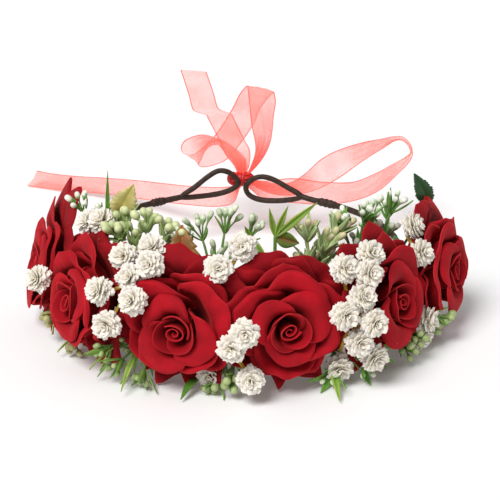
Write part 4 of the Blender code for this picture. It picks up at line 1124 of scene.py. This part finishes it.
def make_spray(name, root_azimuth, florets, radius, seed):
    rng = np.random.default_rng(seed)
    places, turns, shares = [], [], []
    stems = Basket()
    root = np.array(spot(root_azimuth, 2.9, 0.6))
    centres = [np.array(spot(*floret)) for floret in florets]
    middle = np.mean(centres, 0)
    hub = middle * 0.88 + root * 0.12 if len(florets) > 1 else root * 0.6 + middle * 0.4
    stalk = bend(root, (root + hub) / 2 + np.array([0, 0, 2 * MM]), hub, 10)
    tube(stems, stalk, 1.2 * MM, YELLOW_STEM, sides=9)
    for (azimuth, _, upward), centre in zip(florets, centres):
        facing = np.array(polar(azimuth + rng.uniform(-14, 14), 1.0, 0.18 + 0.25 * rng.uniform(-1, 1)
                                + 0.012 * upward))
        facing = facing / np.linalg.norm(facing)
        side = unit(np.cross(facing, [0.1, 0.2, 0.97])[None])[0]
        third = np.cross(facing, side)
        for tilt, count in FLORET_LAYERS:
            for k in range(count):
                lean = math.radians(tilt + rng.uniform(-12, 12))
                spin = 2 * math.pi * (k + rng.uniform(-0.25, 0.25)) / count + tilt
                out = math.cos(spin) * side + math.sin(spin) * third
                along = math.cos(lean) * facing + math.sin(lean) * out
                inner = math.sin(lean) * facing - math.cos(lean) * out
                across = np.cross(inner, along)
                matrix = Matrix(np.stack([across, inner, along], 1).tolist())
                places.append(centre - facing * radius * 0.15)
                turns.append(tuple(matrix.to_euler()))
                shares.append(1.0 if tilt > 20 else 0.85)
        foot = centre - facing * radius * 0.55
        path = bend(hub, hub * 0.35 + foot * 0.65 - facing * 3 * MM, foot, 12)
        tube(stems, path, np.linspace(1.05, 0.85, 12) * MM, YELLOW_STEM)
        bud_into(stems, foot - facing * 1.4 * MM, facing, 3.4 * MM, 1.5 * MM, YELLOW_STEM, (0.40, 0.48, 0.12))
    petals = scatter(name + "_florets", places, turns, shares, floret_petal(), MATERIALS["bloom"], radius,
                     variation=0.15, seed=seed)
    piece = place_object(name + "_florets", petals, MATERIALS["bloom"])
    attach(piece, "garland")
    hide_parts(name)
    finish_greenery(name + "_stems", None, stems)


# ---------------------------------------------------------------- wires

def ring_path(start, end, count):
    return np.array([polar(start + (end - start) * k / (count - 1), RING_RADIUS, RING_HEIGHT)
                     for k in range(count)])


def wire_piece(name, node, slot, runs):
    """Taped wire in one or more runs, each as (path, radius, whether it is closed)."""
    basket = Basket()
    for path, radius, closed in runs:
        tube(basket, path, radius, sides=14, closed=closed)
    mesh = basket.mesh(name)
    face_outward(mesh)
    made = place_object(name, mesh, MATERIALS[slot])
    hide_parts(node)
    return made


def crinkled(count, base, seed):
    """A radius that wavers a little along the wire, as wound tape does."""
    rng = np.random.default_rng(seed)
    knots = np.arange(0, count + 6, 6)
    wobble = np.interp(np.arange(count), knots, rng.uniform(-1, 1, len(knots)))
    return base * (1 + 0.05 * wobble)


def arm_piece(side, start, end, loop, seed):
    """A bare arm along the ring, and the tie loop at its end."""
    on_ring = list(ring_path(start, end, 90)) + [behind_ring(loop[0])]
    arm = through(on_ring[::3] + [on_ring[-1]], 150)
    eye = through([behind_ring(place) for place in loop], 120, closed=True)
    return wire_piece(side + "_arm_taped", side + "_arm_wire", "brown_tape",
                      [(arm, crinkled(150, WIRE_RADIUS * ARM_TAPE, seed), False),
                       (eye, crinkled(120, WIRE_RADIUS * LOOP_TAPE, seed + 1), True)])


def twist_piece(side, azimuth, length, body):
    """The wrapped twist that closes a tie loop on its arm."""
    half = math.degrees(length / 2 * MM / RING_RADIUS)
    t = np.linspace(-1, 1, 50)
    radius = (WIRE_RADIUS + 0.95 * MM * (1 - t ** 4)) * (1 + 0.07 * np.sin(t * 14))
    piece = wire_piece(side + "_twist_taped", side + "_twist_wrap", "brown_tape",
                       [(ring_path(azimuth - half, azimuth + half, 50), radius, False)])
    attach(piece, body)


def make_wires():
    garland = wire_piece("garland_wire_taped", "garland_wire", "green_tape",
                         [(ring_path(GARLAND_START, GARLAND_END, 260), crinkled(260, WIRE_RADIUS, 1), False)])
    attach(garland, "garland")
    left = arm_piece("left", GARLAND_START - TAPE_STEP, -152.0, LEFT_LOOP, 2)
    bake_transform(left)
    right = arm_piece("right", GARLAND_END + TAPE_STEP, 151.0, RIGHT_LOOP, 4)
    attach(right, "garland")
    twist_piece("left", -147.0, 11, "left_arm")
    twist_piece("right", 144.5, 15, "garland")


# ---------------------------------------------------------------- ribbon

def ribbon_mesh(name, edges, steps, bulge, ripple, seed):
    """A ribbon sheet through pairs of edge points, softly crowned and rippled across, and its length."""
    rng = np.random.default_rng(seed)
    lanes = 21
    left, right = (through([behind_ring(pair[side]) for pair in edges], 400) for side in (0, 1))
    middle = (left + right) / 2
    run = np.concatenate([[0], np.cumsum(np.linalg.norm(np.diff(middle, axis=0), axis=1))])
    at = np.linspace(0, run[-1], steps)
    left, right = (np.stack([np.interp(at, run, edge[:, axis]) for axis in range(3)], 1)
                   for edge in (left, right))
    across = right - left
    ahead = unit(np.gradient((left + right) / 2, axis=0))
    normal = unit(np.cross(unit(across), ahead))
    share = np.linspace(0, 1, lanes)
    sheet = left[:, None] + share[None, :, None] * across[:, None]
    widths = np.linalg.norm(across, axis=1)
    gather = np.clip(1.05 - widths / np.percentile(widths, 75), 0, 1)[:, None]
    crown = bulge * (1 - (2 * share - 1) ** 2)
    slant, pitch = share[None] * rng.uniform(5, 8), at[:, None] * rng.uniform(90, 140)
    fold = ripple * (np.sin(slant + pitch + rng.uniform(0, 6))
                     + 0.5 * np.sin(share[None] * 11 + at[:, None] * 260 + rng.uniform(0, 6)))
    fold = fold * np.sin(np.pi * np.clip(share, 0.03, 0.97))[None] ** 0.5
    fold = fold + 1.5 * gather * np.sin(share[None] * 19 + 1.5 * np.sin(at[:, None] * 150))
    sheet = sheet + ((crown[None] + fold) * MM)[..., None] * normal[:, None]
    basket = Basket()
    uv = np.stack(np.broadcast_arrays(share[None], at[:, None]), -1)
    tone = np.broadcast_to(gather[..., None], (steps, lanes, 3)).reshape(-1, 3)
    basket.add(sheet.reshape(-1, 3), grid_faces(steps, lanes), tone, uv.reshape(-1, 2))
    return basket.mesh(name), float(run[-1])


def ribbon_piece(name, nodes, edges, steps, bulge, ripple, seed):
    mesh, length = ribbon_mesh(name, edges, steps, bulge, ripple, seed)
    points = np.array([vertex.co for vertex in mesh.vertices])
    points[:, 2] = np.maximum(points[:, 2], FLOOR_CLEARANCE)
    mesh.vertices.foreach_set("co", points.ravel())
    piece = place_object(name, mesh, MATERIALS["organza"])
    cloth_wall(piece, RIBBON_THICKNESS)
    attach(piece, "left_arm")
    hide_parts(*nodes)


def knot_body(basket, centre):
    """The gathered cloth: a pleated pod, pinched at its waist."""
    rows, columns = 41, 64
    v = np.linspace(0, math.pi, rows)[:, None]
    u = np.linspace(0, 2 * math.pi, columns, endpoint=False)[None]
    pleat = 1 + 0.17 * np.sin(9 * u + 2.6 * np.sin(2 * v)) * np.sin(v) ** 0.6 + 0.08 * np.sin(17 * u + 3 * v)
    waist = 0.92 - 0.24 * np.exp(-((v - math.pi / 2) / 0.4) ** 2)
    x = np.cos(v) * 8.6 * np.ones_like(u) + 0.8 * np.sin(v * 2) * np.cos(u)
    y = np.sin(v) ** 0.8 * np.cos(u) * 4.6 * pleat * waist
    z = np.sin(v) ** 0.8 * np.sin(u) * 5.0 * pleat * waist
    basket.add(np.stack([x, y, z], -1) * MM + centre, grid_faces(rows, columns, closed=True))


def knot_band(basket, centre):
    """The snug turn of ribbon round the waist of the knot."""
    rows, columns = 13, 60
    turn = np.linspace(0, 2 * math.pi, columns, endpoint=False)
    lane = np.linspace(-1, 1, rows)
    radius = 1 + 0.06 * np.sin(lane * 7)[:, None] * np.ones(columns)[None]
    x = (lane * 2.6)[:, None] + 0.9 * np.cos(turn + 0.6)[None]
    outer = np.stack([x, 4.3 * radius * np.cos(turn)[None], 4.5 * radius * np.sin(turn)[None]], -1) * MM
    inner = outer * np.array([1, 0.86, 0.86])
    count = rows * columns
    faces = grid_faces(rows, columns, closed=True)
    faces += [[index + count for index in face[::-1]] for face in faces]
    for k in range(columns):
        n, last = (k + 1) % columns, count - columns
        faces.append([k, k + count, n + count, n])
        faces.append([last + k, last + n, count + last + n, count + last + k])
    basket.add(np.stack([outer, inner]) + centre, faces)


def make_knot():
    basket = Basket()
    centre = np.array(behind_ring(KNOT_CENTRE))
    knot_body(basket, centre)
    knot_band(basket, centre)
    mesh = basket.mesh("bow_knot_gathered")
    face_outward(mesh)
    piece = place_object("bow_knot_gathered", mesh, MATERIALS["gathered"])
    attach(piece, "left_arm")
    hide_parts("bow_knot")


def make_bow():
    make_knot()
    for name, run in RIBBONS.items():
        ribbon_piece(name, *run)


# ---------------------------------------------------------------- operators

def lay_floor(collection):
    half = FLOOR_SIDE / 2
    mesh = bpy.data.meshes.new("floor")
    corners = [(-half, -half, 0), (half, -half, 0), (half, half, 0), (-half, half, 0)]
    mesh.from_pydata(corners, [], [(0, 1, 2, 3)])
    floor = bpy.data.objects.new("floor", mesh)
    collection.objects.link(floor)
    made, _, shader = node_material("pale_floor")
    shader.inputs["Base Color"].default_value = (0.97, 0.97, 0.97, 1)
    shader.inputs["Roughness"].default_value = 0.9
    mesh.materials.append(made)


def set_lights(scene):
    """An even white surround and one broad lamp from the front left."""
    world = bpy.data.worlds.new("soft_surround")
    scene.world = world
    world.use_nodes = True
    background = world.node_tree.nodes["Background"]
    background.inputs["Color"].default_value = (1, 1, 1, 1)
    background.inputs["Strength"].default_value = FILL_STRENGTH
    data = bpy.data.lights.new("key", "SUN")
    data.energy = KEY_STRENGTH
    data.angle = KEY_SPREAD
    lamp = bpy.data.objects.new("key", data)
    lamp.rotation_euler = Vector(KEY_DIRECTION).to_track_quat("-Z", "Y").to_euler()
    scene.collection.objects.link(lamp)


def set_view(scene):
    data = bpy.data.cameras.new("view")
    data.lens = LENS
    data.sensor_width = SENSOR_WIDTH
    camera = bpy.data.objects.new("view", data)
    target = Vector(VIEW_TARGET)
    rise = math.radians(VIEW_RISE)
    camera.location = target + VIEW_DISTANCE * Vector((0, -math.cos(rise), math.sin(rise)))
    camera.rotation_euler = (target - camera.location).to_track_quat("-Z", "Y").to_euler()
    scene.collection.objects.link(camera)
    scene.camera = camera
    scene.view_settings.view_transform = "Standard"


class CrownSettings(bpy.types.PropertyGroup):
    """Sizes and colours that a user would change."""
    floret_radius: bpy.props.FloatProperty(
        name="Floret radius", description="Radius of one gypsophila floret", default=0.0072, unit="LENGTH")
    velvet_thickness: bpy.props.FloatProperty(
        name="Velvet thickness", description="Thickness of the petal cloth", default=0.00055, unit="LENGTH",
        precision=5)
    velvet_colour: bpy.props.FloatVectorProperty(
        name="Velvet", description="Colour of the rose petals", default=(0.47, 0.003, 0.012), subtype="COLOR",
        min=0, max=1)
    ribbon_colour: bpy.props.FloatVectorProperty(
        name="Ribbon", description="Colour of the organza ribbon", default=(0.80, 0.015, 0.015),
        subtype="COLOR", min=0, max=1)
    tape_colour: bpy.props.FloatVectorProperty(
        name="Tape", description="Colour of the tape round the wire arms", default=(0.042, 0.019, 0.011),
        subtype="COLOR", min=0, max=1)
    arrangement: bpy.props.IntProperty(
        name="Arrangement", description="Changes the small irregularities", default=7)


class CROWN_OT_materials(bpy.types.Operator):
    """Make the velvet, foam, foliage, tape and organza materials"""
    bl_idname = "crown.materials"
    bl_label = "Materials"

    def execute(self, context):
        settings = context.scene.crown
        colours = (settings.velvet_colour, settings.ribbon_colour, settings.tape_colour)
        make_materials(*(tuple(colour) for colour in colours))
        return {"FINISHED"}


class CROWN_OT_roses(bpy.types.Operator):
    """Build the six velvet roses with their calyxes"""
    bl_idname = "crown.roses"
    bl_label = "Roses"

    def execute(self, context):
        settings = context.scene.crown
        for order, (name, rose) in enumerate(ROSES.items()):
            make_rose(name, *rose, seed=settings.arrangement + order, thickness=settings.velvet_thickness)
        return {"FINISHED"}


class CROWN_OT_gypsophila(bpy.types.Operator):
    """Build the gypsophila sprays"""
    bl_idname = "crown.gypsophila"
    bl_label = "Gypsophila"

    def execute(self, context):
        for order, (name, (root, florets)) in enumerate(SPRAYS.items()):
            make_spray(name, root, florets, context.scene.crown.floret_radius, 40 + order)
        return {"FINISHED"}


class CROWN_OT_greenery(bpy.types.Operator):
    """Build the budded sprigs, spiky sprigs and single leaves"""
    bl_idname = "crown.greenery"
    bl_label = "Greenery"

    def execute(self, context):
        greenery_above()
        greenery_below()
        return {"FINISHED"}


class CROWN_OT_wires(bpy.types.Operator):
    """Build the taped garland wire, both arms and their tie loops"""
    bl_idname = "crown.wires"
    bl_label = "Wires"

    def execute(self, context):
        make_wires()
        return {"FINISHED"}


class CROWN_OT_bow(bpy.types.Operator):
    """Build the knot, bow loops and tails"""
    bl_idname = "crown.bow"
    bl_label = "Ribbon bow"

    def execute(self, context):
        make_bow()
        return {"FINISHED"}


class CROWN_OT_stage(bpy.types.Operator):
    """Add the floor, the soft lights and the camera"""
    bl_idname = "crown.stage"
    bl_label = "Stage"

    def execute(self, context):
        lay_floor(context.scene.collection)
        set_lights(context.scene)
        set_view(context.scene)
        return {"FINISHED"}


OPERATORS = (CROWN_OT_stage, CROWN_OT_materials, CROWN_OT_roses, CROWN_OT_gypsophila, CROWN_OT_greenery,
             CROWN_OT_wires, CROWN_OT_bow)


class CROWN_PT_panel(bpy.types.Panel):
    """Lists the crown's settings and build steps"""
    bl_idname = "CROWN_PT_panel"
    bl_label = "Flower Crown"
    bl_space_type = "VIEW_3D"
    bl_region_type = "UI"
    bl_category = "Crown"

    def draw(self, context):
        for name in CrownSettings.__annotations__:
            self.layout.prop(context.scene.crown, name)
        for operator in OPERATORS:
            self.layout.operator(operator.bl_idname)


CLASSES = (CrownSettings, *OPERATORS, CROWN_PT_panel)


def register():
    for item in CLASSES:
        bpy.utils.register_class(item)
    bpy.types.Scene.crown = bpy.props.PointerProperty(type=CrownSettings)


def unregister():
    del bpy.types.Scene.crown
    for item in reversed(CLASSES):
        bpy.utils.unregister_class(item)


def main():
    register()
    bpy.ops.crown.stage()
    bpy.ops.crown.materials()
    bpy.ops.crown.roses()
    bpy.ops.crown.gypsophila()
    bpy.ops.crown.greenery()
    bpy.ops.crown.wires()
    bpy.ops.crown.bow()


if __name__ == "__main__":
    main()
